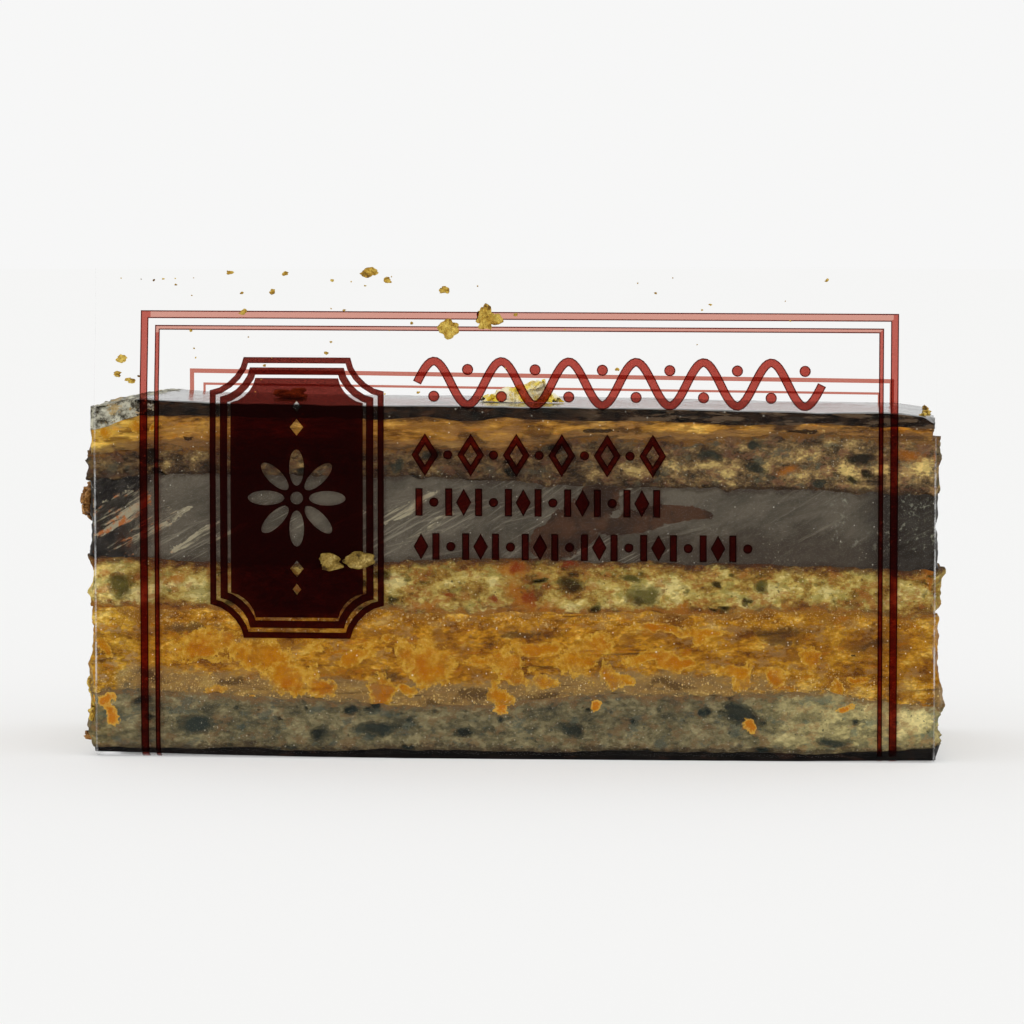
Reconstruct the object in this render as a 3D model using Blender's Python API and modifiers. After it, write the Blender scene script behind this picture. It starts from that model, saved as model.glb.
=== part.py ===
"""A slice of opera cake, as cut for the shop, standing in its folded sheet of clear film.

Units are metres, +Z is up, and the origin is the middle of the footprint on the table.
The slice lies along X. Its film runs down the front (-Y), under the slice and up the back.
"""

import math

import bmesh
import bpy
from mathutils import Vector, noise

MM = 0.001

# The slice
LENGTH = 85.6 * MM
DEPTH = 30.0 * MM
CAKE_CENTRE_X = 0.35 * MM
CORNER_RADIUS = 0.9 * MM
GAP = 0.3 * MM
FRONT_POINTS = 46
END_POINTS = 18
CORNER_POINTS = 2

# Height of each joint between layers above the table, at the left end, the middle and the right end
FLOOR = (0.5 * MM, 0.5 * MM, 0.5 * MM)
JOINTS = (
    FLOOR,
    (1.2 * MM, 1.2 * MM, 1.5 * MM),
    (6.4 * MM, 5.5 * MM, 6.0 * MM),
    (14.7 * MM, 14.5 * MM, 14.5 * MM),
    (19.9 * MM, 19.9 * MM, 19.2 * MM),
    (28.2 * MM, 27.8 * MM, 26.8 * MM),
    (31.2 * MM, 31.6 * MM, 32.2 * MM),
    (34.4 * MM, 34.0 * MM, 33.5 * MM),
    (35.8 * MM, 35.4 * MM, 34.9 * MM),
)
JOINT_WAVE = 0.22 * MM
JOINT_WAVE_LENGTH = 7.0 * MM
TOP_WAVE = 0.10 * MM

# The crushed shoulder at the left end, where the icing sinks towards the front corner
SHOULDER_LENGTH = 5.2 * MM
SHOULDER_DROP = 1.7 * MM
SHOULDER_FRONT_DROP = 0.9 * MM
SHOULDER_JOINTS = {6: 0.15, 7: 0.85, 8: 1.0}

# How far each cap's flat middle stays from the cut faces and from the ends
CAP_INSET = 2.6 * MM
CAP_END_INSET = 5.6 * MM

# The film
FILM_WIDTH = 85.0 * MM
FILM_CENTRE_X = 0.5 * MM
FILM_THICKNESS = 0.2 * MM
FILM_CLEARANCE = 0.3 * MM
FILM_FOLD_RADIUS = 1.1 * MM
FILM_FRONT_HEIGHT = 49.5 * MM
FILM_BACK_HEIGHT = 42.2 * MM
FILM_BACK_TILT = 1.0 * MM
FILM_TOP_LEAN = 0.7 * MM
FILM_LEAN_START = 34.0 * MM
FILM_COLUMNS = 16
FILM_WALL_ROWS = 8
FILM_FOLD_STEPS = 4

# The crumpled gold leaf on the icing
LEAF_LENGTH = 9.4 * MM
LEAF_DEPTH = 4.6 * MM
LEAF_CENTRE = Vector((0.5 * MM, -3.4 * MM))
LEAF_CREST = 2.7 * MM
LEAF_THICKNESS = 0.14 * MM
LEAF_COLUMNS = 12
LEAF_ROWS = 6

# Each layer, bottom to top: name, wall rows, depth of the pits on the cut faces,
# height of the crags on the ends, colour, roughness
LAYERS = (
    ("chocolate_base", 1, 0.10 * MM, 0.35 * MM, (0.030, 0.014, 0.008), 0.45),
    ("sponge_bottom", 4, 0.55 * MM, 0.80 * MM, (0.300, 0.220, 0.110), 0.85),
    ("coffee_cream_lower", 3, 0.25 * MM, 0.45 * MM, (0.480, 0.240, 0.050), 0.50),
    ("sponge_middle", 4, 0.60 * MM, 0.80 * MM, (0.420, 0.280, 0.110), 0.85),
    ("ganache", 3, 0.15 * MM, 0.40 * MM, (0.032, 0.020, 0.014), 0.40),
    ("sponge_top", 4, 0.60 * MM, 0.75 * MM, (0.240, 0.150, 0.070), 0.85),
    ("coffee_cream_upper", 2, 0.20 * MM, 0.40 * MM, (0.450, 0.220, 0.050), 0.50),
    ("chocolate_icing", 2, 0.08 * MM, 0.25 * MM, (0.022, 0.011, 0.007), 0.22),
)
PIT_LENGTH = 2.6 * MM
CRAG_LENGTH = 3.2 * MM
MOST_PIT = 1.1 * MM

# Lumps that stand out of the ends: side (-1 left, 1 right), height, depth along Y, radius, how far out
END_LUMPS = (
    (-1, 25.4 * MM, -12.6 * MM, 1.5 * MM, 1.50 * MM),
    (-1, 31.6 * MM, -12.0 * MM, 2.4 * MM, 0.45 * MM),
    (-1, 4.6 * MM, -12.5 * MM, 1.9 * MM, 0.60 * MM),
    (-1, 1.4 * MM, -12.0 * MM, 1.2 * MM, 0.75 * MM),
    (-1, 17.0 * MM, 2.0 * MM, 3.0 * MM, 0.55 * MM),
    (-1, 9.5 * MM, 9.0 * MM, 2.6 * MM, 0.50 * MM),
    (1, 30.6 * MM, -11.0 * MM, 1.5 * MM, 0.60 * MM),
    (1, 27.9 * MM, -12.0 * MM, 1.4 * MM, 0.60 * MM),
    (1, 18.6 * MM, -12.5 * MM, 1.6 * MM, 0.60 * MM),
    (1, 5.6 * MM, -11.0 * MM, 2.6 * MM, 0.80 * MM),
    (1, 1.6 * MM, -12.5 * MM, 1.2 * MM, 0.80 * MM),
    (1, 12.0 * MM, 6.0 * MM, 3.2 * MM, 0.60 * MM),
    (1, 22.0 * MM, 10.0 * MM, 2.6 * MM, 0.45 * MM),
)


def clear_scene():
    for existing in list(bpy.data.objects):
        bpy.data.objects.remove(existing, do_unlink=True)


def make_material(name, colour, roughness, metallic=0.0, alpha=1.0):
    material = bpy.data.materials.new(name)
    material.use_nodes = True
    shader = material.node_tree.nodes["Principled BSDF"]
    shader.inputs["Base Color"].default_value = (*colour, 1.0)
    shader.inputs["Roughness"].default_value = roughness
    shader.inputs["Metallic"].default_value = metallic
    shader.inputs["Alpha"].default_value = alpha
    return material


def add_object(name, bm, collection, material):
    """Turns a bmesh into a smooth-shaded object of the collection."""
    bmesh.ops.recalc_face_normals(bm, faces=bm.faces)
    mesh = bpy.data.meshes.new(name)
    bm.to_mesh(mesh)
    bm.free()
    mesh.materials.append(material)
    mesh.shade_smooth()
    mesh.set_sharp_from_angle(angle=math.radians(50))
    made = bpy.data.objects.new(name, mesh)
    collection.objects.link(made)
    return made


def smooth_step(low, high, value):
    share = min(1.0, max(0.0, (value - low) / (high - low)))
    return share * share * (3 - 2 * share)


def ripple(point, wave_length, seed):
    """Smooth noise from -1 to 1 at a point, different for each seed."""
    return noise.fractal(point / wave_length + Vector((seed * 7.3, seed * 3.1, seed)), 0.6, 2.0, 3)


def outline(inset_x=0.0, inset_y=0.0):
    """Points round the slice seen from above, with their outward directions, front face first."""
    half_x = LENGTH / 2 - inset_x - CORNER_RADIUS
    half_y = DEPTH / 2 - inset_y - CORNER_RADIUS
    sides = (
        (Vector((0, -1)), Vector((1, 0)), half_x, half_y, FRONT_POINTS),
        (Vector((1, 0)), Vector((0, 1)), half_y, half_x, END_POINTS),
        (Vector((0, 1)), Vector((-1, 0)), half_x, half_y, FRONT_POINTS),
        (Vector((-1, 0)), Vector((0, -1)), half_y, half_x, END_POINTS),
    )
    found = []
    for outward, along, half_run, half_across, count in sides:
        for step in range(count):
            place = along * (2 * step / (count - 1) - 1) * half_run
            found.append((place + outward * (half_across + CORNER_RADIUS), outward))
        corner = along * half_run + outward * half_across
        for step in range(1, CORNER_POINTS + 1):
            turn = math.radians(90) * step / (CORNER_POINTS + 1)
            direction = outward * math.cos(turn) + along * math.sin(turn)
            found.append((corner + direction * CORNER_RADIUS, direction))
    return found


def shoulder(joint, x, y):
    """How far the crushed left shoulder lowers a joint at a place."""
    share = smooth_step(-LENGTH / 2 + SHOULDER_LENGTH, -LENGTH / 2, x)
    front = smooth_step(0.0, -DEPTH / 2, y)
    return SHOULDER_JOINTS.get(joint, 0.0) * share * (SHOULDER_DROP + SHOULDER_FRONT_DROP * front)


def level(joint, x, y, wavy):
    """Height of a joint between layers. The flat middle of each cap leaves the wave out."""
    left, middle, right = JOINTS[joint]
    if not wavy:
        return middle + (right - left) * x / LENGTH
    side = abs(2 * x / LENGTH)
    height = middle + ((left if x < 0 else right) - middle) * side
    if 0 < joint:
        wave = TOP_WAVE if joint == len(JOINTS) - 1 else JOINT_WAVE
        height += wave * ripple(Vector((x, y, 0.0)), JOINT_WAVE_LENGTH, joint)
    return height - shoulder(joint, x, y)


def lumps(side, y, z):
    return sum(
        out * math.exp(-(((y - lump_y) ** 2) + (z - lump_z) ** 2) / (radius * radius))
        for lump_side, lump_z, lump_y, radius, out in END_LUMPS
        if lump_side == side
    )


def relief(index, x, y, z, outward):
    """How far a layer's wall stands out at a place: pits on the cut faces, crags on the ends."""
    pit, crag = LAYERS[index][2:4]
    place = Vector((x, y, z))
    end_share = abs(outward.x)
    hollow = max(0.0, ripple(place, PIT_LENGTH, index + 20) + 0.15)
    cut_face = -min(MOST_PIT, pit * 2.0 * hollow)
    torn_end = crag * ripple(place, CRAG_LENGTH, index + 40)
    torn_end += lumps(math.copysign(1, outward.x), y, z)
    return cut_face * (1 - end_share) + torn_end * end_share


def wall_ring(index, share):
    """One ring of a layer's wall, at a share of the way from its floor to its roof."""
    ring = []
    for place, outward in outline():
        floor = level(index, place.x, place.y, True) + (GAP / 2 if index else 0.0)
        roof = level(index + 1, place.x, place.y, True)
        if index < len(LAYERS) - 1:
            roof -= GAP / 2
        z = floor + (roof - floor) * share
        moved = place + outward * relief(index, place.x, place.y, z, outward)
        ring.append(Vector((moved.x + CAKE_CENTRE_X, moved.y, z)))
    return ring


def cap_ring(index, is_roof):
    """The ring round the flat middle of a layer's floor or roof."""
    joint = index + 1 if is_roof else index
    is_outer = joint in (0, len(LAYERS))
    offset = 0.0 if is_outer else (-GAP / 2 if is_roof else GAP / 2)
    return [
        Vector((place.x + CAKE_CENTRE_X, place.y, level(joint, place.x, place.y, False) + offset))
        for place, _ in outline(CAP_END_INSET, CAP_INSET)
    ]


def loft(bm, rings):
    """A closed skin over rings of equal count: a filled circle, extruded from ring to ring."""
    made = bmesh.ops.create_circle(bm, cap_ends=True, segments=len(rings[0]), radius=1.0)
    face = made["verts"][0].link_faces[0]
    for number, ring in enumerate(rings):
        if number:
            below = face
            grown = bmesh.ops.extrude_face_region(bm, geom=[face])
            face = next(part for part in grown["geom"] if isinstance(part, bmesh.types.BMFace))
            if number > 1 and below.is_valid:
                bmesh.ops.delete(bm, geom=[below], context="FACES_ONLY")
        for vertex, place in zip(face.verts, ring, strict=True):
            vertex.co = place


def make_layer(index, collection):
    name, rows, _, _, colour, roughness = LAYERS[index]
    rings = [cap_ring(index, False)]
    rings += [wall_ring(index, row / rows) for row in range(rows + 1)]
    rings.append(cap_ring(index, True))
    bm = bmesh.new()
    loft(bm, rings)
    return add_object(name, bm, collection, make_material(name, colour, roughness))


def film_profile():
    """The sheet's path seen from the right end, from its front top edge round to its back one.

    Each point is its y, its z and the height of the wall that it belongs to.
    """
    half = DEPTH / 2 + FILM_CLEARANCE + FILM_THICKNESS / 2
    bottom = FILM_THICKNESS / 2
    path = []
    for side, height in ((-1, FILM_FRONT_HEIGHT), (1, FILM_BACK_HEIGHT)):
        wall = []
        for row in range(FILM_WALL_ROWS + 1):
            z = height + (bottom + FILM_FOLD_RADIUS - height) * row / FILM_WALL_ROWS
            lean = max(0.0, z - FILM_LEAN_START) / (FILM_FRONT_HEIGHT - FILM_LEAN_START)
            wall.append((side * (half + FILM_TOP_LEAN * lean * lean), z, height))
        for step in range(1, FILM_FOLD_STEPS + 1):
            turn = math.radians(90) * step / FILM_FOLD_STEPS
            y = half - FILM_FOLD_RADIUS * (1 - math.cos(turn))
            wall.append((side * y, bottom + FILM_FOLD_RADIUS * (1 - math.sin(turn)), height))
        path += wall if side < 0 else wall[::-1]
    return path


def make_film(collection):
    """One sheet bent into a trough. The back wall's edge runs a little askew."""
    path = film_profile()
    bm = bmesh.new()
    bmesh.ops.create_grid(bm, x_segments=FILM_COLUMNS, y_segments=len(path) - 1, size=0.5)
    for vertex in bm.verts:
        y, z, height = path[round((vertex.co.y + 0.5) * (len(path) - 1))]
        x = vertex.co.x * FILM_WIDTH
        if y > 0:
            z -= FILM_BACK_TILT * (x / FILM_WIDTH) * max(0.0, z / height) ** 2
        vertex.co = (x + FILM_CENTRE_X, y, z)
    film = add_object(
        "film_wrap", bm, collection, make_material("film", (0.9, 0.9, 0.9), 0.05, alpha=0.2)
    )
    solidify = film.modifiers.new("thickness", "SOLIDIFY")
    solidify.thickness = FILM_THICKNESS
    solidify.offset = 0.0
    return film


def make_gold_leaf(collection):
    """A torn scrap of gold leaf, crumpled into low folds."""
    bm = bmesh.new()
    bmesh.ops.create_grid(bm, x_segments=LEAF_COLUMNS, y_segments=LEAF_ROWS, size=0.5)
    rest = level(len(LAYERS), LEAF_CENTRE.x, LEAF_CENTRE.y, False) + TOP_WAVE + GAP
    for vertex in bm.verts:
        across, along = vertex.co.x * 2, vertex.co.y * 2
        reach = 1.0 - 0.18 * (1 + ripple(Vector((across, along, 0.0)), 0.55, 3))
        place = Vector((across * LEAF_LENGTH * reach, along * LEAF_DEPTH * reach)) / 2 + LEAF_CENTRE
        edge = max(0.0, 1 - across * across) * max(0.0, 1 - along * along)
        fold = abs(ripple(Vector((across * 1.6, along * 0.7, 0.0)), 0.62, 11))
        lift = LEAF_CREST * (0.25 + 0.75 * math.sqrt(edge)) * min(1.0, 1.6 * fold)
        vertex.co = (place.x, place.y, rest + LEAF_THICKNESS + lift)
    bmesh.ops.triangulate(bm, faces=bm.faces)
    leaf = add_object(
        "gold_leaf", bm, collection, make_material("gold_leaf", (0.95, 0.68, 0.18), 0.3, metallic=1.0)
    )
    solidify = leaf.modifiers.new("thickness", "SOLIDIFY")
    solidify.thickness = LEAF_THICKNESS
    solidify.offset = 0.0
    return leaf


def main():
    clear_scene()
    collection = bpy.data.collections.new("opera_cake")
    bpy.context.scene.collection.children.link(collection)
    for index in range(len(LAYERS)):
        make_layer(index, collection)
    make_film(collection)
    make_gold_leaf(collection)


main()
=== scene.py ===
"""The looks of a slice of opera cake in its folded sheet of printed film.

Every piece is modelled in millimetres and set down in metres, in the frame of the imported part:
X runs along the slice, the high printed wall of the film is at -Y, and the table is at Z = 0.
"""

import math

import bmesh
import bpy
import numpy as np
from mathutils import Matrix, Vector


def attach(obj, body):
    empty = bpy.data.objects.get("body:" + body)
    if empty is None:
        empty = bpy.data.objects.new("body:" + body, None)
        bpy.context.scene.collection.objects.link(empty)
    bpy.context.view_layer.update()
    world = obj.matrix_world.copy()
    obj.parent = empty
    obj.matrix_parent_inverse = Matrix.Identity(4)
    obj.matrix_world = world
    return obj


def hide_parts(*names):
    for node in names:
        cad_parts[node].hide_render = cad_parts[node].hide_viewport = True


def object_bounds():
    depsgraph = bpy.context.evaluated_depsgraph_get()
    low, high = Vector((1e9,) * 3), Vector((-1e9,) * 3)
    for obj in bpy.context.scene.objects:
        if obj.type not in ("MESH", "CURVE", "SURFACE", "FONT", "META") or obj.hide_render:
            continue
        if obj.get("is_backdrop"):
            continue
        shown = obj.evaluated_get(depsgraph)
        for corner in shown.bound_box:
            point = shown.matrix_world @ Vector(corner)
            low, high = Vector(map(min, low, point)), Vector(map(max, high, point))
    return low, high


bl_info = {
    "name": "Opera Cake Slice",
    "version": (1, 0, 0),
    "blender": (4, 5, 0),
    "location": "View3D > Sidebar > Opera Cake",
    "description": "Models a slice of opera cake standing in a folded sheet of printed film",
    "category": "Object",
}

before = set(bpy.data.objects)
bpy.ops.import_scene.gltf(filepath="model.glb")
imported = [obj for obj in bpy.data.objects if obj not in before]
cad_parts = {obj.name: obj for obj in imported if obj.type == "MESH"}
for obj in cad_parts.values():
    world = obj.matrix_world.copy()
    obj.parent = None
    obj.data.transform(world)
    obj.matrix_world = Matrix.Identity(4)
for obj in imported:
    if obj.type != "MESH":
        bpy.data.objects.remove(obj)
CAD_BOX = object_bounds()

MM = 0.001

# The slice, in millimetres
CAKE_CENTRE_X = 0.10
CAKE_LENGTH = 86.1
CAKE_DEPTH = 30.4
CORNER_RADIUS = 0.7
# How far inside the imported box's ends the layers stay, and how near points have to be to be welded
SIDE_MARGIN = 0.05
WELD = 0.002
# The heights in these lists, but for the table's, count from this far above the table
RAISE = 0.45
STATIONS = (-42.4, -40.3, -37.7, -31.6, -21.3, -11.1, -1.0, 9.2, 19.3, 29.3, 39.4, 43.0)
JOINTS = {
    "table": (0.50, 0.48, 0.42, 0.28, 0.12, 0.05, 0.04, 0.04, 0.04, 0.06, 0.20, 0.24),
    "base": (0.45, 0.42, 0.40, 0.40, 0.38, 0.36, 0.42, 0.45, 0.45, 0.47, 0.80, 1.00),
    "low_sponge": (6.0, 6.3, 6.6, 6.2, 5.4, 5.0, 5.2, 6.1, 6.0, 6.7, 5.6, 5.2),
    "low_cream": (14.8, 14.7, 14.7, 14.7, 14.6, 14.5, 14.4, 14.5, 14.5, 14.9, 14.4, 14.3),
    "middle_sponge": (20.0, 20.0, 20.0, 19.5, 19.4, 19.7, 20.0, 19.8, 19.6, 19.3, 19.2, 19.1),
    "ganache": (27.9, 28.0, 28.2, 28.4, 28.4, 28.4, 27.8, 27.4, 27.3, 27.0, 26.7, 26.6),
    "high_sponge": (30.6, 30.9, 31.1, 31.4, 31.4, 31.2, 31.4, 32.4, 32.1, 32.9, 32.3, 32.2),
    "high_cream": (33.9, 34.5, 34.7, 34.4, 34.2, 34.2, 34.1, 34.0, 33.8, 33.7, 33.4, 33.2),
    "icing": (35.4, 35.95, 36.2, 35.8, 35.7, 35.5, 35.5, 35.4, 35.15, 35.0, 34.85, 34.4),
}
JOINT_NAMES = tuple(JOINTS)

# Lumps that stand out of the ends: side (-1 left, 1 right), height, place along Y, radius, how far out
END_LUMPS = (
    (-1, 30.2, -12.0, 2.2, 0.70), (-1, 5.6, -12.5, 1.9, 0.40), (-1, 2.6, -12.0, 1.1, 0.30),
    (-1, 17.0, 2.0, 3.0, 0.60), (-1, 9.5, 9.0, 2.6, 0.50), (1, 27.9, -12.6, 1.2, 0.30),
    (1, 18.6, -12.8, 1.2, 0.50), (1, 5.6, -12.0, 2.6, 0.85), (1, 1.6, -12.8, 1.2, 0.65),
    (1, 12.0, 6.0, 3.2, 0.60), (1, 22.0, 10.0, 2.6, 0.45),
)

# How far back the right ends of some layers stand, in millimetres
RIGHT_RECESS = {"chocolate_icing": 0.35, "coffee_cream_upper": 0.50, "sponge_top": 0.25, "ganache": 0.15}

# How far back the foot of the left end stands
LEFT_FOOT_RECESS = 0.55

# Rings of faces on the icing's top, and on the caps of the layers that don't show theirs
ICING_RINGS = 26
HIDDEN_RINGS = 2

# Soft steps: where each begins and where it is full. First the lower cream's loose smears, upwards and
# downwards in height, and to the left along X
SMEARS_FROM = (6.2, 7.6)
SMEARS_TO = (13.6, 11.8)
SMEARS_RIGHT = (29.0, 23.0)
# Its mud, down towards the joint below, rightwards from the left end, and where it thins out
MUD_REACH = (3.6, 0.8)
MUD_LEFT = (-41.4, -39.2)
MUD_THINS = (15.0, 32.0)
# Its froth, down towards the joint below and up towards its top
FROTH_REACH = (3.4, 0.6)
FROTH_TOP = (12.4, 13.4)
# The upper cream's mud, down towards the joint below, and its froth along X
UPPER_MUD_REACH = (1.2, 0.3)
UPPER_FROTH = (20.0, 30.0)
# The foot of the left end that stands back, downwards
LEFT_FOOT = (2.4, 0.8)
# The film, where it comes free of the slice above and of the table below
FILM_FREE = (34.0, 46.0)
FILM_LIFTS = (1.5, 6.0)
# Where the front edge at the icing's left shoulder begins to sink and is at its lowest, along X and Y
SHOULDER_X = (-36.6, -41.5)
SHOULDER_Y = (-7.0, -15.0)
# Where its cut side begins to draw back and is furthest back, along X
SHOULDER_CUT = (-37.2, -41.0)
# Where its pale grit, a painted highlight on the rough crushed facet, begins to show, and how fast it
# then comes, in millimetres
CRUSHED_EDGE = -37.6
CRUSHED_REACH = 3.0
# The chip in the icing's right front corner: place along X and Y, and depth
ICING_CHIP = (43.2, -15.2, 0.5)
# The back's marks are the front's, mirrored about half this place along X
BACK_MIRROR = 6.0
# The field of a place that is far from every mark
NO_MARK = -3.0

# Marks on the front cut face: place along X, height, half length, half height, turn in degrees
PORES = {
    "sponge_bottom": (
        (-32.2, 2.8, 1.9, 1.2, 0), (-13.9, 2.7, 2.4, 0.8, 0), (6.3, 2.6, 1.6, 0.8, -12),
        (-4.5, 2.1, 1.1, 0.6, 0), (23.6, 4.3, 2.1, 1.2, -25), (-38.0, 5.1, 1.1, 0.5, 0),
        (-19.4, 2.3, 1.0, 0.7, 0), (33.0, 1.6, 1.8, 0.5, 0),
    ),
    "sponge_middle": (
        (6.0, 17.5, 1.5, 0.7, 0), (13.8, 16.3, 1.9, 1.0, 0), (12.3, 17.9, 1.1, 0.4, 0),
        (8.8, 15.2, 0.8, 0.4, 20), (-39.8, 17.1, 1.4, 1.3, 0), (25.6, 17.4, 0.8, 0.6, 0),
        (21.4, 15.2, 0.9, 0.3, 0), (-28.8, 15.5, 0.6, 0.6, 0), (-12.9, 18.3, 1.2, 0.7, 0),
        (3.1, 17.8, 0.9, 0.25, 0),
    ),
    "sponge_top": (
        (25.0, 29.3, 0.9, 0.4, 0), (35.3, 30.2, 1.6, 0.5, 8), (31.0, 27.9, 0.8, 0.4, 0),
        (34.5, 28.0, 0.7, 0.4, 0), (20.3, 30.4, 1.1, 0.5, 0), (-11.4, 29.3, 0.6, 0.8, 0),
        (-7.8, 30.6, 1.2, 0.5, 0), (-36.9, 30.2, 0.6, 1.3, 0), (4.8, 31.3, 1.6, 0.5, 0),
    ),
    "coffee_cream_upper": (
        (-32.8, 32.4, 0.6, 0.2, 0), (29.6, 32.8, 1.4, 0.25, 0), (9.0, 33.0, 2.2, 0.22, -4),
    ),
    "coffee_cream_lower": (
        (34.9, 10.6, 0.4, 0.2, 0),
    ),
}
SMEARS = {
    "coffee_cream_lower": (
        (-31.6, 10.9, 3.6, 1.5, 10), (-25.6, 10.2, 4.2, 1.7, -4), (-22.4, 8.0, 3.0, 1.9, -14),
        (-19.6, 6.6, 1.6, 1.0, 0), (-30.2, 6.2, 1.1, 0.5, 0), (-26.1, 4.9, 0.8, 0.5, 0),
        (-15.5, 9.9, 1.6, 0.8, 12), (-13.4, 6.5, 1.4, 1.7, 0), (-10.4, 6.5, 1.7, 0.6, 0),
        (-1.1, 5.6, 1.2, 1.1, 0), (8.7, 4.8, 0.8, 0.6, 20), (-9.9, 10.5, 1.5, 1.4, 0),
        (-8.2, 9.3, 2.2, 2.2, 0), (-2.2, 10.0, 3.4, 0.5, 8), (2.8, 10.9, 2.6, 0.6, 14),
        (6.4, 9.9, 2.2, 1.4, 0), (8.8, 11.0, 1.8, 1.2, 0), (3.7, 7.6, 1.5, 0.7, 0),
        (10.4, 8.2, 1.0, 1.8, 10), (13.8, 10.2, 2.0, 0.7, 22), (15.4, 12.7, 3.6, 0.5, 0),
        (19.6, 12.4, 2.6, 0.4, 0), (-41.5, 10.8, 0.8, 0.9, 0), (22.6, 8.4, 1.4, 0.7, 0),
        (23.4, 7.2, 0.8, 1.0, 0), (27.2, 8.2, 0.9, 1.2, 20), (30.0, 10.6, 0.9, 1.1, 30),
        (33.2, 6.9, 0.5, 0.9, 0), (35.6, 8.0, 1.5, 0.4, 0),
    ),
    "sponge_bottom": (
        (-41.2, 5.2, 0.9, 0.7, 0), (-40.6, 4.1, 0.7, 1.0, 15), (-1.1, 5.6, 1.2, 1.1, 0),
        (8.7, 4.8, 0.8, 0.6, 20), (34.1, 4.9, 1.1, 0.4, 0), (24.4, 3.0, 0.6, 0.8, 30),
    ),
    "coffee_cream_upper": (
        (-41.2, 32.6, 0.8, 0.8, 0), (-38.3, 33.7, 0.7, 0.5, 0), (-36.0, 33.6, 0.9, 0.3, 0),
    ),
    "ganache": (
        (4.9, 21.9, 2.7, 2.0, 10), (6.8, 23.6, 3.4, 2.3, 25), (8.6, 25.6, 2.7, 1.9, 30),
        (10.2, 27.6, 1.6, 0.7, 0), (13.0, 23.9, 4.2, 1.2, 12), (16.2, 24.6, 3.4, 1.0, 8),
        (19.0, 24.7, 1.8, 0.55, -6),
    ),
}
REDS = (
    (-1.6, 16.1, 0.6, 0.5, 0), (2.1, 16.2, 1.0, 0.7, 20), (-5.8, 16.2, 0.7, 0.25, -8),
    (0.6, 19.1, 0.9, 0.5, 0), (5.6, 19.2, 0.9, 0.4, 0), (-35.3, 12.9, 2.6, 0.4, -6),
)
AMBERS = (
    (1.2, 16.4, 2.4, 1.5, -50), (0.2, 18.9, 1.8, 0.8, 0), (3.4, 15.2, 1.8, 0.7, 0),
    (17.6, 15.2, 1.0, 0.9, 30), (42.4, 18.2, 1.0, 1.4, 0), (-8.6, 15.6, 2.6, 0.5, 0),
    (-34.4, 17.8, 1.6, 0.4, 20), (28.0, 29.0, 1.6, 0.8, 0), (40.4, 30.4, 1.8, 0.9, 0),
    (24.4, 3.0, 0.8, 0.9, 30), (-40.4, 31.0, 1.8, 0.5, 0),
)
# Soft dark patches on the creams: painted shadow
SHADOW_PATCHES = (
    (-3.6, 5.9, 2.6, 0.8, 0), (3.4, 5.9, 2.4, 0.6, 0), (-8.0, 5.4, 1.4, 0.7, 0),
    (-12.6, 8.0, 1.8, 0.6, 0), (-28.0, 7.0, 2.0, 0.6, 0), (-37.0, 7.6, 2.2, 0.5, 0),
    (16.5, 7.4, 3.0, 0.35, 3), (0.6, 12.0, 3.2, 0.5, 6), (27.0, 11.8, 2.6, 0.4, -4),
    (36.0, 11.4, 2.2, 0.4, 3), (-3.2, 32.0, 2.4, 0.6, 4), (2.6, 32.5, 2.6, 0.9, -6),
    (-33.0, 12.6, 3.0, 0.7, 0), (27.0, 12.3, 3.0, 0.8, 0), (12.0, 33.1, 2.6, 0.35, 3),
)
PALES = (
    (-32.6, 16.9, 3.6, 1.3, -6), (-38.6, 16.2, 3.0, 0.9, 6), (-11.4, 17.2, 3.0, 1.1, 10),
    (-6.0, 17.6, 3.2, 0.8, 8), (4.5, 15.6, 1.8, 0.9, 0), (10.2, 16.6, 2.6, 1.4, -8),
    (17.6, 17.0, 4.2, 1.6, 4), (20.8, 16.4, 2.4, 1.2, 0), (30.8, 17.0, 4.6, 1.2, -4),
    (40.4, 16.6, 2.4, 1.4, 0), (33.5, 3.0, 5.0, 1.5, 6), (40.6, 3.9, 2.4, 1.9, 0),
    (28.6, 2.2, 2.2, 0.8, 0), (-24.6, 4.2, 2.4, 0.6, 0), (37.4, 29.2, 2.2, 0.7, 0),
    (34.6, 28.6, 2.0, 0.6, 0), (17.0, 29.4, 1.8, 0.8, 0), (12.6, 28.8, 1.6, 0.7, 0),
    (-35.0, 29.6, 0.9, 0.8, 0), (31.2, 28.8, 1.2, 0.5, 0), (21.6, 29.4, 2.4, 0.9, 0),
    (41.4, 29.2, 1.4, 1.2, 0),
)
DRAGS = (
    (-40.0, 24.4, 3.8, 1.7, 30), (-37.6, 22.6, 3.6, 1.4, 30), (-31.6, 22.4, 3.4, 0.45, 30),
    (-28.6, 22.6, 2.8, 0.35, 30), (-33.6, 24.6, 1.8, 0.25, 32), (-17.0, 23.6, 3.6, 0.3, 28),
    (-10.6, 25.0, 3.4, 0.5, 30), (-8.6, 23.0, 3.4, 0.4, 30),
)

# Each layer, bottom to top: wall rows for each millimetre, recess of the parts that miss the film,
# depth of its small hollows, size of its crags on the ends, all in millimetres
LAYERS = {
    "chocolate_base": (4.0, 0.06, 0.05, 0.25),
    "sponge_bottom": (4.5, 0.10, 0.60, 0.62),
    "coffee_cream_lower": (4.5, 0.10, 0.22, 0.36),
    "sponge_middle": (4.5, 0.10, 0.62, 0.62),
    "ganache": (4.0, 0.06, 0.05, 0.26),
    "sponge_top": (4.5, 0.10, 0.60, 0.60),
    "coffee_cream_upper": (5.0, 0.08, 0.20, 0.34),
    "chocolate_icing": (5.0, 0.05, 0.06, 0.20),
}
LAYER_NAMES = tuple(LAYERS)

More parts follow.
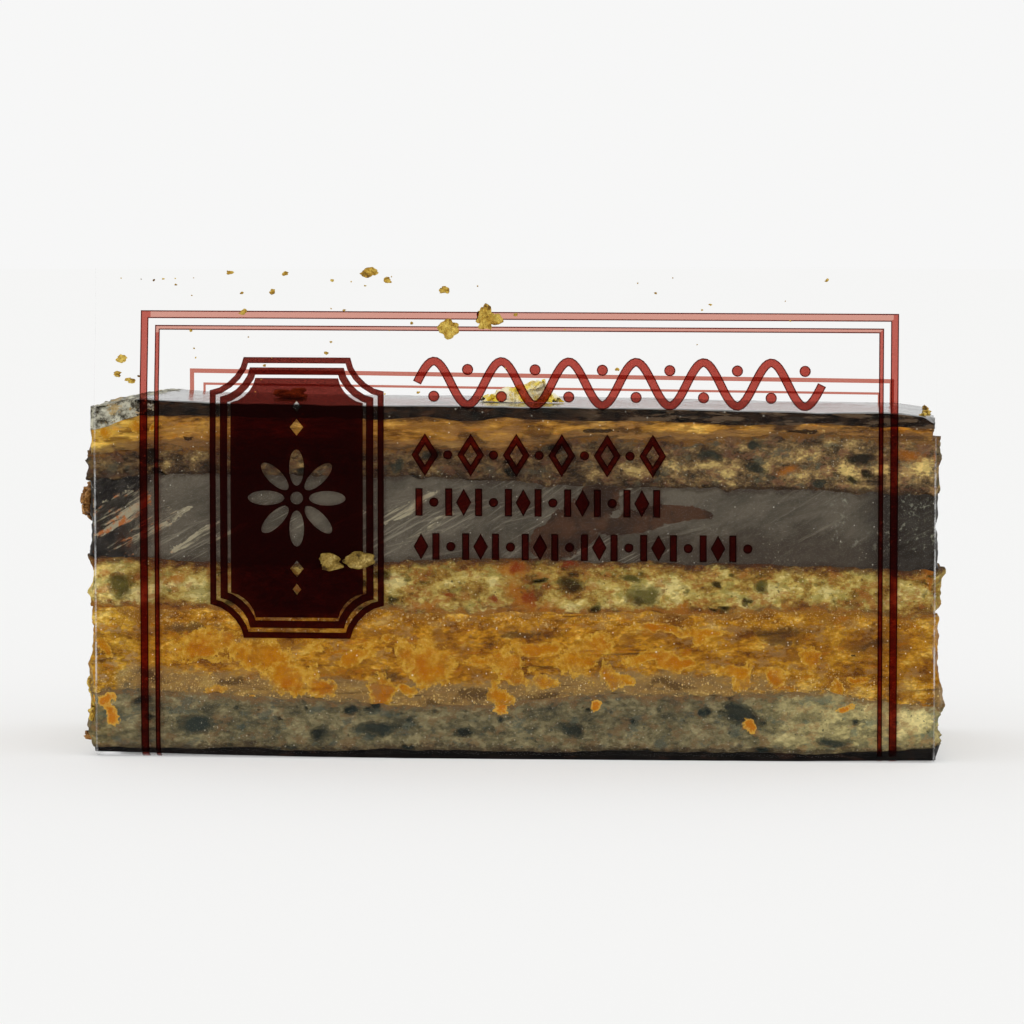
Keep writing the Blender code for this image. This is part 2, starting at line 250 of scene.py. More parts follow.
# The film, in millimetres along the flat sheet and across it
FILM_CENTRE_X = 0.5
FILM_WIDTH = 85.0
FILM_FACE = 15.33
FILM_FOLD_RADIUS = 1.1
FILM_FRONT_HEIGHT = 49.95
FILM_BACK_HEIGHT = 42.65
FILM_BACK_TILT = 1.0
FILM_TOP_LEAN = 0.7
FILM_LEAN_START = 34.5
FILM_STEP = 0.8
# Points up each wall of the sheet seen from its end
WALL_POINTS = 60
FILM_THICKNESS = 0.08
FILM_BOTTOM = 0.05
# How far left the film's left edge goes on its way down the front, at places along the sheet
FILM_SPREAD_PLACES = (0.0, 4.5, 12.0, 19.0, 44.0, 52.0, 64.0)
FILM_SPREAD = (0.0, 0.06, 0.34, 0.43, 0.40, 0.36, 0.0)

# The print, in millimetres
FRAME_MARGIN = 4.50
FRAME_LEFT = 4.63
FRAME_RIGHT = 3.83
PRINT_TURN = 0.004
FRAME_LINE = 0.80
FRAME_GAP = 0.68
FRAME_INNER_LINE = 0.49
# The back wall's frame: how far right and how far up it stands, and how its rules get thinner: places
# inward from the frame's border, and the same places on the back wall
BACK_FRAME_RIGHT = 0.37
BACK_FRAME_UP = 0.20
FRAME_PLACES = (0.0, 0.80, 1.48, 1.97, 6.0)
BACK_FRAME_PLACES = (0.0, 0.47, 1.48, 1.74, 6.0)
INK_HEIGHT = 0.03
# Width of the strips that printed shapes are cut into, so that they follow the sheet
PRINT_STEP = 1.0
INK_COVER = 0.08
# How much more red, green and blue light the ink lets through on the top rule, on the back wall and on
# the front wall above the height that follows. On the top rule this paler ink is a painted highlight, of
# the light that the leaning top of the film catches
PALER_INKS = {
    "print_ink_top": (0.30, 0.30, 0.25),
    "print_ink_back": (0.14, 0.13, 0.10),
    "print_ink_upper": (0.10, 0.06, 0.05),
}
UPPER_INK_FROM = 36.5
INK_EDGE = 0.12
PLAQUE_ACROSS = -21.95
PLAQUE_DOWN = 23.5
PLAQUE_WIDTH = 17.6
PLAQUE_HEIGHT = 28.6
PLAQUE_RULE = 0.62
PLAQUE_GAP = 0.42
PLAQUE_BAND = 0.75
PLAQUE_LINE_GAP = 0.32
# How deep the corners of the plaque's rule, band and field are hollowed
PLAQUE_CORNERS = (3.4, 3.0, 2.5)
# Its rosette: number of petals, their width, length and distance from the middle, and the heart's width
PETALS = 8
PETAL_WIDTH = 1.5
PETAL_LENGTH = 3.7
PETAL_PLACE = 3.1
HEART_WIDTH = 1.3
# The lozenges above and below the rosette: distance from its middle and height
PLAQUE_LOZENGES = ((7.2, 1.7), (9.3, 1.1))

# The wave: left, right, place down the sheet, rise and line width. Then its number of turns, and how wide
# the dots in its bends are
WAVE = (-9.8, 31.0, 11.7, 2.2, 0.9)
WAVE_TURNS = 6
WAVE_DOT = 1.15
# Rows of motifs: left, right, place down the sheet, height, kinds in turn, pitch
MOTIF_ROWS = (
    (-9.0, 14.2, 19.0, 4.4, ("ring", "dot"), 2.3),
    (-9.6, 15.6, 23.8, 2.8, ("bar", "dot", "bar", "lozenge"), 1.5),
    (-9.4, 23.9, 28.3, 2.7, ("lozenge", "bar", "dot", "bar"), 1.5),
)

# Each motif's width as a share of its height, or in millimetres where it keeps to one width
RING_SHARE = 0.62
RING_LINE = 0.62
LOZENGE_SHARE = 0.55
BAR_WIDTH = 0.72
DOT_WIDTH = 0.95

# The gold leaf, in millimetres, with its height at places along it
LEAF_CENTRE = (0.35, -3.5)
LEAF_LENGTH = 7.6
LEAF_DEPTH = 3.7
LEAF_THICKNESS = 0.05
LEAF_GAP = 0.05
LEAF_PLACES = (0.0, 0.08, 0.30, 0.36, 0.58, 0.64, 0.86, 1.0)
LEAF_HEIGHTS = (0.15, 0.9, 1.2, 1.8, 1.9, 2.2, 2.2, 0.4)

# Crumbs on the film: place along X, height, half width, half height, in millimetres. Then the number of
# specks, and the pale crumbs
FILM_CRUMBS = (
    (-2.3, 44.3, 0.95, 1.40), (-6.0, 43.2, 0.80, 0.75), (-6.4, 47.2, 0.40, 0.32),
    (-14.0, 49.0, 0.75, 0.42), (-12.3, 48.2, 0.30, 0.25), (-22.7, 48.9, 0.30, 0.20),
    (-24.0, 47.0, 0.35, 0.28), (-26.9, 45.0, 0.30, 0.24), (-28.4, 49.0, 0.30, 0.20),
    (-39.2, 40.1, 0.42, 0.36), (-38.3, 38.1, 0.36, 0.30), (-39.6, 38.6, 0.28, 0.26),
)
FILM_SPECKS = 46
# Where the specks lie: left and right along X, of which every third keeps to the left part, then lowest
# height and span of heights
SPECKS_X = (-40, 36)
LEFT_SPECKS_X = (-40, -8)
SPECKS_LOW = 36.5
SPECKS_SPAN = 12.4
PALE_CRUMBS = (
    (-18.1, 19.7, 1.25, 0.90),
    (-15.3, 19.8, 1.50, 0.90),
)
# Crumbs that lie on the icing: middle along X and Y, and half sizes along X, Y and Z
ICING_CRUMBS = (
    (-24.9, 2.0, 1.2, 0.9, 0.60), (-23.4, 1.2, 0.9, 0.7, 0.50), (42.3, -8.5, 0.35, 0.4, 0.30),
    (42.6, 7.5, 0.28, 0.3, 0.25), (41.7, -13.6, 0.30, 0.3, 0.20),
)
# Loose lumps at the left end: middle and half sizes along X, Y and Z, in millimetres
CHUNKS = (
    (-43.3, -13.0, 26.2, 0.80, 1.15, 0.90), (-43.4, -12.6, 24.6, 0.80, 1.30, 0.95),
    (-42.8, -13.8, 1.60, 0.85, 0.80, 0.40),
)
# Lumps of cream at the left end, in the same way
END_CREAM = (
    (-42.9, -14.0, 6.3, 0.60, 0.90, 1.35),
    (-42.8, -13.8, 3.9, 0.65, 0.90, 1.25),
)

# A column for each sponge: its tones on a scale to 255, its tints at the left end's tip, on the left and
# on the right, where left turns to right along X, and the stuffs that creep in from below and above
SPONGES = {
    "name": ("sponge_bottom", "sponge_middle", "sponge_top"),
    "dark": ((76, 73, 57), (96, 62, 28), (44, 36, 28)),
    "middle": ((104, 97, 71), (140, 106, 46), (82, 65, 46)),
    "pale": ((132, 123, 90), (176, 152, 80), (122, 99, 66)),
    "bright": ((158, 148, 110), (210, 192, 126), (176, 152, 98)),
    "warm": ((120, 94, 64), (150, 92, 42), (106, 72, 54)),
    "cool": ((74, 84, 76), (136, 128, 66), (76, 77, 66)),
    "crust": ((110, 80, 54), (92, 52, 32), (64, 46, 36)),
    "crust_share": (0.25, 0.7, 0.4),
    "red": ((140, 74, 34), (122, 42, 16), (130, 66, 34)),
    # The pores' tones are painted shade inside the holes
    "pore": ((36, 42, 38), (44, 34, 16), (30, 30, 25)),
    "pore_other": ((46, 54, 50), (92, 84, 38), (58, 60, 50)),
    "smear": ((176, 104, 24), (172, 96, 28), (176, 110, 40)),
    # Specks: painted glints on wet points
    "speck": ((196, 186, 160), (226, 208, 160), (200, 186, 160)),
    "end": ((1.30, 1.20, 1.0, 1), (1.45, 1.45, 1.55, 1), (0.84, 0.80, 0.74, 1)),
    "left": ((0.95, 0.92, 0.9, 1), (0.95, 0.93, 0.9, 1), (0.84, 0.80, 0.74, 1)),
    "right": ((2.0, 1.95, 1.6, 1), (1.05, 1.05, 1.0, 1), (1.55, 1.55, 1.35, 1)),
    "shade_from": ((20.0, 36.0), (-20.0, 20.0), (2.0, 40.0)),
    "scale": (0.8, 0.8, 1.15),
    "lift": (0.08, 0.10, 0.12),
    "below": ((56, 46, 34), (150, 96, 34), (44, 34, 26)),
    "above": ((124, 92, 56), (58, 40, 30), (120, 80, 34)),
}
# A column for each cream, in the same way, and how its streaks lie
CREAMS = {
    "name": ("coffee_cream_lower", "coffee_cream_upper"),
    "dark": ((108, 62, 12), (108, 68, 20)),
    "middle": ((148, 96, 16), (158, 112, 44)),
    "pale": ((182, 128, 28), (188, 140, 62)),
    "bright": ((222, 178, 76), (226, 184, 98)),
    "tan": ((152, 116, 66), (146, 108, 66)),
    "brown": ((130, 84, 26), (124, 84, 38)),
    "hot": ((166, 96, 10), (176, 112, 36)),
    "mud": ((130, 108, 70), (110, 80, 50)),
    # The cracks' tone: painted shade in the cracks, also laid on the painted shadow patches
    "crack_shade": ((72, 50, 28), (56, 36, 20)),
    # Specks: painted glints on wet points and on the froth's droplet rims
    "speck": ((222, 190, 118), (206, 176, 110)),
    "end": ((1.12, 1.30, 1.95, 1), (1.6, 1.95, 1.85, 1)),
    "left": ((1.02, 1.0, 1.0, 1), (1.0, 0.96, 0.86, 1)),
    "right": ((0.96, 0.96, 1.0, 1), (1.4, 1.28, 0.8, 1)),
    "shade_from": ((0.0, 30.0), (14.0, 30.0)),
    "streak": (0.60, 0.26),
    "turn": (2.0, 1.0),
    "below": ((98, 86, 60), (70, 50, 32)),
    "above": ((146, 104, 44), (60, 38, 22)),
}
SHADES = ("dark", "middle", "pale", "bright")
# The cream's froth in three sizes: cells for each millimetre, share that are filled, radius in cells
# Its droplets' bright rims are painted highlights
FROTH = ((1.9, 0.5, 0.42), (3.1, 0.55, 0.40), (5.2, 0.5, 0.36))
# The ganache's scratches: turn in degrees and strength
SCRATCHES = ((29, 0.75), (36, 0.5), (14, 0.4))
# Where the tint of the left end's tip begins and is full, along X
SPONGE_TIP = (-39.8, -41.6)
CREAM_TIP = (-36.8, -39.6)
# Where the ganache's painted haze, the film's reflection, begins and is full at its left end, and at its
# right end, along X
HAZE_LEFT = (-35.6, -33.2)
HAZE_RIGHT = (41.0, 36.5)
# Where the pale streaks on the icing's cut side begin and are full, along X
ICING_STREAKS = (4.0, 12.0)
# How far out from the slice's middle plane the cut faces begin
CUT_FACE = (14.4, 14.9)

# The crumbs' tones on a scale to 255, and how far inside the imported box's left side they stay
CRUMB_BRIGHT = (236, 206, 108)
PALE_CRUMB_TONES = ((66, 48, 18), (120, 96, 38), (152, 126, 62), (196, 172, 104))
CHUNK_TONES = ((56, 34, 18), (120, 78, 34), (170, 122, 66), (206, 170, 112))
CRUMB_MARGIN = 0.02

# The stage: the table in metres, the camera's sensor in millimetres, its near limit in metres
FLOOR_SIZE = 30.0
SENSOR_WIDTH = 36.0
NEAR_CLIP = 0.01


def paint(red, green, blue):
    """A colour given on a scale to 255, as the linear colour that a shader takes."""
    shares = (channel / 255 for channel in (red, green, blue))
    linear = (s / 12.92 if s <= 0.04045 else ((s + 0.055) / 1.055) ** 2.4 for s in shares)
    return (*linear, 1.0)


def looks(table):
    """Each layer's look out of a table, with its tones turned into linear colours."""
    for column in zip(*table.values()):
        look = dict(zip(table, column))
        for key, value in look.items():
            if isinstance(value, tuple) and len(value) == 3:
                look[key] = paint(*value)
        yield look


def dimmed(colour, share):
    return (*(channel * share for channel in colour[:3]), 1.0)


# Numbers over many points at once


def smooth_step(low, high, value):
    share = np.clip((value - low) / (high - low), 0.0, 1.0)
    return share * share * (3 - 2 * share)


def ripple(points, wave_length, seed, octaves=3):
    """Smooth noise of about -1 to 1 at each point, with finer and finer waves added."""
    table = np.random.default_rng(seed).uniform(-1, 1, (24, 24, 24))
    total = np.zeros(len(points))
    weight = 1.0
    for octave in range(octaves):
        scaled = points / wave_length * 2**octave + 5.3 * octave
        low = np.floor(scaled).astype(int)
        share = scaled - low
        share = share * share * (3 - 2 * share)
        for corner in np.ndindex(2, 2, 2):
            place = (low + corner) % 24
            sides = np.where(corner, share, 1 - share)
            total += weight * sides.prod(axis=1) * table[place[:, 0], place[:, 1], place[:, 2]]
        weight *= 0.5
    return total * 1.2


def marks(blobs, x, z):
    """How deep each place lies in the nearest of several turned ovals: 1 at a centre, 0 at a rim."""
    best = np.full(len(x), NO_MARK)
    for centre_x, centre_z, half_x, half_z, turn in blobs:
        cos, sin = math.cos(math.radians(turn)), math.sin(math.radians(turn))
        along = ((x - centre_x) * cos + (z - centre_z) * sin) / half_x
        across = ((z - centre_z) * cos - (x - centre_x) * sin) / half_z
        best = np.maximum(best, 1 - np.sqrt(along * along + across * across))
    return best


def joint_height(joint, x, y):
    """Height of the joint on top of a layer, as measured along the slice, with a slow wave."""
    height = np.interp(x, STATIONS, JOINTS[joint])
    if joint == "table":
        return height
    height += RAISE
    points = np.stack((x, y, np.zeros(len(x))), axis=1)
    wave = 0.07 if joint == "icing" else 0.20
    seed = JOINT_NAMES.index(joint) + 60
    height += wave * ripple(points, 4.5, seed, 4)
    if joint not in ("icing", "high_cream", "base"):
        height += 0.16 * ripple(points, 1.3, seed + 20, 3)
    front_edge = smooth_step(*SHOULDER_X, x) * smooth_step(*SHOULDER_Y, y)
    crushed = {"icing": 0.15, "high_cream": 1.0}.get(joint, 0.0)
    return height - crushed * front_edge


# Modelling with Blender's own tools


def start_piece():
    if bpy.context.object and bpy.context.object.mode != "OBJECT":
        bpy.ops.object.mode_set(mode="OBJECT")
    bpy.ops.object.select_all(action="DESELECT")


def pick(piece):
    """Makes a piece the only one that Blender's tools work on."""
    start_piece()
    piece.select_set(True)
    bpy.context.view_layer.objects.active = piece


def edit_select(piece, element, chosen):
    """In edit mode, selects the vertices, edges or faces that chosen() accepts, and no others."""
    mode = {"verts": "VERT", "edges": "EDGE", "faces": "FACE"}[element]
    bpy.ops.mesh.select_mode(type=mode)
    bpy.ops.mesh.select_all(action="DESELECT")
    shape = bmesh.from_edit_mesh(piece.data)
    for part in getattr(shape, element):
        part.select = chosen(part)
    shape.select_flush_mode()
    bmesh.update_edit_mesh(piece.data)


def read_points(piece):
    points = np.empty(len(piece.data.vertices) * 3)
    piece.data.vertices.foreach_get("co", points)
    return points.reshape(-1, 3)


def place_points(piece, points):
    piece.data.vertices.foreach_set("co", points.astype(np.float32).ravel())
    piece.data.update()


def add_field(piece, name, values):
    """Stores one number for each vertex, for the piece's material to read."""
    field = piece.data.attributes.new(name, "FLOAT", "POINT")
    field.data.foreach_set("value", values.astype(np.float32))


def finish_piece(piece, name, slot, replaced=None, smooth_angle=60):
    """Names a piece, shades it, hangs it from the root body and hides the solid it stands for. Its slot
    is not used.
    """
    pick(piece)
    piece.name = name
    piece.data.name = name
    bpy.ops.object.shade_smooth_by_angle(angle=math.radians(smooth_angle))
    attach(piece, "root")
    if replaced:
        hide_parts(replaced)


def join_pieces(pieces):
    start_piece()
    for piece in pieces:
        piece.select_set(True)
    bpy.context.view_layer.objects.active = pieces[0]
    if len(pieces) > 1:
        bpy.ops.object.join()
    return bpy.context.object


def apply_modifier(piece, kind, **settings):
    pick(piece)
    modifier = piece.modifiers.new(kind.lower(), kind)
    for key, value in settings.items():
        setattr(modifier, key, value)
    bpy.ops.object.modifier_apply(modifier=modifier.name)


# Materials


class Tree:
    """Short calls that add nodes to one node tree. Each returns what the next node takes."""

    def __init__(self, tree):
        self.tree = tree

    def add(self, kind, sockets=None, **settings):
        made = self.tree.nodes.new("ShaderNode" + kind)
        for key, value in settings.items():
            setattr(made, key, value)
        for key, value in (sockets or {}).items():
            self.feed(made.inputs[key], value)
        return made

    def feed(self, socket, value):
        if isinstance(value, bpy.types.NodeSocket):
            self.tree.links.new(value, socket)
        else:
            socket.default_value = value

    def coordinates(self):
        """The piece's own coordinates, in millimetres."""
        place = self.add("TexCoord").outputs["Object"]
        return self.add("VectorMath", {0: place, "Scale": 1000.0}, operation="SCALE").outputs[0]

    def stretched(self, place, scale=(1, 1, 1), turn=0.0):
        """Coordinates turned in the plane of the cut face, then scaled."""
        turned = self.add("Mapping", {"Vector": place, "Rotation": (0, math.radians(turn), 0)})
        scaled = self.add("Mapping", {"Vector": turned.outputs[0], "Scale": scale})
        return scaled.outputs[0]

    def noise(self, place, scale, detail=3.0, roughness=0.55, distortion=0.0):
        sockets = {"Vector": place, "Scale": scale, "Detail": detail, "Roughness": roughness}
        sockets["Distortion"] = distortion
        return self.add("TexNoise", sockets).outputs["Fac"]

    def calculate(self, operation, first, second=0.0):
        return self.add("Math", {0: first, 1: second}, operation=operation).outputs[0]

    def times(self, first, second):
        return self.calculate("MULTIPLY", first, second)

    def plus(self, first, second):
        return self.calculate("ADD", first, second)

    def minus(self, first, second):
        return self.calculate("SUBTRACT", first, second)

    def scaled(self, value, scale, base):
        made = self.add("Math", {0: value, 1: scale, 2: base}, operation="MULTIPLY_ADD")
        return made.outputs[0]

    def step(self, value, low, high):
        """0 below low, 1 above high and a soft ramp between, or the reverse where low is higher."""
        sockets = {"Value": value, "From Min": low, "From Max": high}
        return self.add("MapRange", sockets, interpolation_type="SMOOTHSTEP").outputs["Result"]

    def mix(self, share, first, second, blend="MIX"):
        made = self.add("Mix", data_type="RGBA", blend_type=blend)
        self.feed(made.inputs["Factor"], share)
        self.feed(made.inputs[6], first)
        self.feed(made.inputs[7], second)
        return made.outputs[2]

    def over(self, colour, stuff, mask, share):
        """A colour with some stuff laid over it, as far as a mask and a share say."""
        return self.mix(self.times(mask, share), colour, stuff)

    def field(self, name):
        return self.add("Attribute", attribute_name=name, attribute_type="GEOMETRY").outputs["Fac"]

    def axis(self, place, letter):
        return self.add("SeparateXYZ", {0: place}).outputs[letter]

    def use(self, group, sockets):
        made = self.add("Group")
        made.node_tree = group
        for key, value in sockets.items():
            self.feed(made.inputs[key], value)
        return made.outputs


def start_group(name, inputs, outputs):
    """A new node group with named sockets, and short calls for its inside."""
    group = bpy.data.node_groups.new(name, "ShaderNodeTree")
    for direction, sockets in (("INPUT", inputs), ("OUTPUT", outputs)):
        for socket, kind in sockets.items():
            group.interface.new_socket(socket, in_out=direction, socket_type="NodeSocket" + kind)
    tree = Tree(group)
    entry = group.nodes.new("NodeGroupInput")
    leave = group.nodes.new("NodeGroupOutput")
    return group, tree, entry.outputs, leave.inputs


def once(build):
    """Builds a shared group the first time, and finds it again later."""
    made = {}

    def find():
        if "group" not in made:
            made["group"] = build()
        return made["group"]

    return find


@once
def crumb_group():
    """Four tones of one stuff, spread in patches, broken by crumbs and then by grit."""
    inputs = {"Place": "Vector", "Scale": "Float", "Lift": "Float"}
    inputs.update({shade.title(): "Color" for shade in SHADES})
    group, tree, entry, leave = start_group("Crumb", inputs, {"Color": "Color", "Grain": "Float"})
    coarse = tree.noise(entry["Place"], tree.times(entry["Scale"], 0.52), 3, 0.5)
    fine = tree.noise(entry["Place"], tree.times(entry["Scale"], 1.5), 5, 0.62)
    grit = tree.noise(entry["Place"], tree.times(entry["Scale"], 4.2), 3, 0.6)
    value = tree.scaled(coarse, 1.15, tree.scaled(fine, 0.85, tree.times(grit, 0.55)))
    value = tree.plus(value, tree.minus(entry["Lift"], 0.775))
    colour = tree.mix(tree.step(value, 0.26, 0.44), entry["Dark"], entry["Middle"])
    colour = tree.mix(tree.step(value, 0.44, 0.62), colour, entry["Pale"])
    colour = tree.mix(tree.step(value, 0.62, 0.84), colour, entry["Bright"])
    cells = tree.times(entry["Scale"], 3.2)
    grains = tree.add("TexVoronoi", {"Vector": entry["Place"], "Scale": cells})
    tone = tree.axis(grains.outputs["Color"], "X")
    tone = tree.mix(tone, (0.78, 0.78, 0.78, 1), (1.22, 1.22, 1.22, 1))
    tree.feed(leave["Color"], tree.mix(1.0, colour, tone, "MULTIPLY"))
    tree.feed(leave["Grain"], fine)
    return group


def crumbly(tree, place, scale, lift, tones):
    """Crumb in four tones, from dark to bright."""
    sockets = {"Place": place, "Scale": scale, "Lift": lift}
    sockets.update({shade.title(): tone for shade, tone in zip(SHADES, tones)})
    return tree.use(crumb_group(), sockets)


@once
def specks_group():
    """Tiny scattered dots with a droplet's rim; near-white ones are painted glints on wet points and fat.
    """
    inputs = {"Place": "Vector", "Cells": "Float", "Amount": "Float", "Radius": "Float"}
    outputs = {"Mask": "Float", "Ring": "Float"}
    group, tree, entry, leave = start_group("Specks", inputs, outputs)
    cells = tree.add("TexVoronoi", {"Vector": entry["Place"], "Scale": entry["Cells"]})
    chance = tree.axis(cells.outputs["Color"], "X")
    chosen = tree.calculate("LESS_THAN", chance, entry["Amount"])
    share = tree.scaled(tree.axis(cells.outputs["Color"], "Y"), 0.7, 0.3)
    size = tree.times(entry["Radius"], share)
    depth = tree.calculate("DIVIDE", cells.outputs["Distance"], size)
    mask = tree.times(chosen, tree.step(depth, 1.0, 0.8))
    tree.feed(leave["Mask"], mask)
    tree.feed(leave["Ring"], tree.times(mask, tree.step(depth, 0.35, 0.75)))
    return group


@once
def torn_edge_group():
    """A crisp ragged patch out of a soft field, with its rim and its heart."""
    inputs = {"Field": "Float", "Place": "Vector", "Ragged": "Float"}
    outputs = {"Patch": "Float", "Rim": "Float", "Heart": "Float"}
    group, tree, entry, leave = start_group("Torn Edge", inputs, outputs)
    coarse = tree.noise(entry["Place"], 0.8, 4, 0.65)
    fine = tree.noise(entry["Place"], 3.4, 4, 0.75)
    centred = tree.minus(tree.scaled(fine, 0.65, coarse), 0.825)
    moved = tree.scaled(centred, entry["Ragged"], entry["Field"])
    patch = tree.step(moved, -0.02, 0.03)
    tree.feed(leave["Patch"], patch)
    tree.feed(leave["Rim"], tree.times(patch, tree.step(moved, 0.22, 0.04)))
    tree.feed(leave["Heart"], tree.step(moved, 0.08, 0.52))
    return group


def start_material(name):
    material = bpy.data.materials.new(name)
    material.use_nodes = True
    tree = Tree(material.node_tree)
    return material, tree, material.node_tree.nodes["Principled BSDF"]


def set_shader(tree, shader, sockets):
    for key, value in sockets.items():
        tree.feed(shader.inputs[key], value)


def bump(tree, height, distance, strength=1.0):
    sockets = {"Height": height, "Distance": distance * MM, "Strength": strength}
    return tree.add("Bump", sockets).outputs[0]


def patch_of(tree, field, place, ragged):
    """A torn-edged patch of one of the piece's own fields."""
    sockets = {"Field": tree.field(field), "Place": place, "Ragged": ragged}
    return tree.use(torn_edge_group(), sockets)


def stained(tree, colour, place, scale, low, share, stain):
    """Stains a colour in ragged patches. The lower the threshold, the more is stained."""
    mask = tree.step(tree.noise(place, scale, 7, 0.7), low, low + 0.07)
    return tree.over(colour, stain, mask, share)


def blurred_joints(tree, colour, place, below, above, reach=0.55):
    """Lets the stuff of the layers below and above creep over a layer's edges."""
    ragged = tree.scaled(tree.noise(place, 1.5, 7, 0.74), 4.0, -2.0)
    for field, stuff in (("rise", below), ("drop", above)):
        near = tree.step(tree.plus(tree.field(field), ragged), reach, reach - 0.5)
        colour = tree.over(colour, stuff, near, 0.75)
    return colour


def speckled(tree, colour, place, cells, amount, radius, share, speck):
    sockets = {"Place": place, "Cells": cells, "Amount": amount, "Radius": radius}
    mask = tree.use(specks_group(), sockets)["Mask"]
    return tree.over(colour, speck, mask, share)


def sponge_material(look):
    """Soaked almond sponge: crumb, browned skins, pores in painted shade, stains and cream smeared over
    it.
    """
    material, tree, shader = start_material(look["name"])
    place = tree.coordinates()
    wide = tree.stretched(place, (0.66, 1.0, 1.05))
    along = tree.axis(place, "X")
    pale = patch_of(tree, "pale", place, 1.6)
    lift = tree.scaled(pale["Heart"], 0.12, tree.times(pale["Patch"], look["lift"]))
    crumb = crumbly(tree, wide, look["scale"], lift, [look[shade] for shade in SHADES])
    colour = stained(tree, crumb["Color"], wide, 0.85, 0.515, 0.6, look["warm"])
    turned = tree.stretched(place, (0.6, 1.0, 1.0), turn=7)
    colour = stained(tree, colour, turned, 0.6, 0.53, 0.6, look["cool"])
    shade = tree.mix(tree.step(along, *look["shade_from"]), look["left"], look["right"])
    shade = tree.mix(tree.step(along, *SPONGE_TIP), shade, look["end"])
    colour = tree.mix(1.0, colour, shade, "MULTIPLY")
    nearest = tree.calculate("MINIMUM", tree.field("rise"), tree.field("drop"))
    skin = tree.scaled(tree.noise(wide, 1.3, 6, 0.7), 3.4, nearest)
    crust = tree.step(skin, 2.55, 1.85)
    colour = tree.over(colour, look["crust"], crust, look["crust_share"])
    # Pinholes: painted shade in tiny holes of the crumb
    pinhole_shade = tree.step(tree.noise(place, 2.3, 3, 0.6), 0.345, 0.29)
    colour = tree.over(colour, look["pore"], pinhole_shade, 0.7)
    colour = blurred_joints(tree, colour, wide, look["below"], look["above"])
    cloudy = tree.scaled(tree.noise(place, 0.9, 7, 0.72), 2.6, -1.3)
    amber = tree.step(tree.plus(tree.field("amber"), cloudy), -0.2, 0.8)
    colour = tree.over(colour, paint(160, 94, 26), amber, 0.75)
    red = tree.step(tree.plus(tree.field("red"), cloudy), -0.2, 0.6)
    colour = tree.over(colour, look["red"], red, 0.8)
    # Pores: their dark tones are painted shade inside the hollows, over the pits cut into the wall
    pore = patch_of(tree, "pore", place, 0.9)
    hue = tree.step(tree.noise(place, 0.23, 2), 0.44, 0.56)
    pore_shade = tree.mix(hue, look["pore"], look["pore_other"])
    pore_shade = tree.mix(pore["Heart"], tree.mix(0.5, pore_shade, colour), pore_shade)
    colour = tree.over(colour, pore_shade, pore["Patch"], 0.92)
    smear = patch_of(tree, "smear", place, 2.0)
    butter = tree.mix(tree.noise(place, 2.0, 5, 0.7), look["smear"], paint(206, 126, 28))
    butter = tree.mix(smear["Heart"], paint(212, 164, 66), butter)
    colour = tree.mix(smear["Patch"], colour, butter)
    # Near-white specks: painted glints on wet points of the crumb
    colour = speckled(tree, colour, place, 2.3, 0.34, 0.26, 0.65, look["speck"])
    colour = speckled(tree, colour, wide, 4.5, 0.30, 0.34, 0.30, look["bright"])
    height = tree.minus(crumb["Grain"], pore["Patch"])
    sockets = {"Base Color": colour, "Roughness": tree.scaled(crumb["Grain"], 0.3, 0.45)}
    sockets |= {"Specular IOR Level": 0.06, "Normal": bump(tree, height, 0.3, 0.7)}
    set_shader(tree, shader, sockets)
    return material


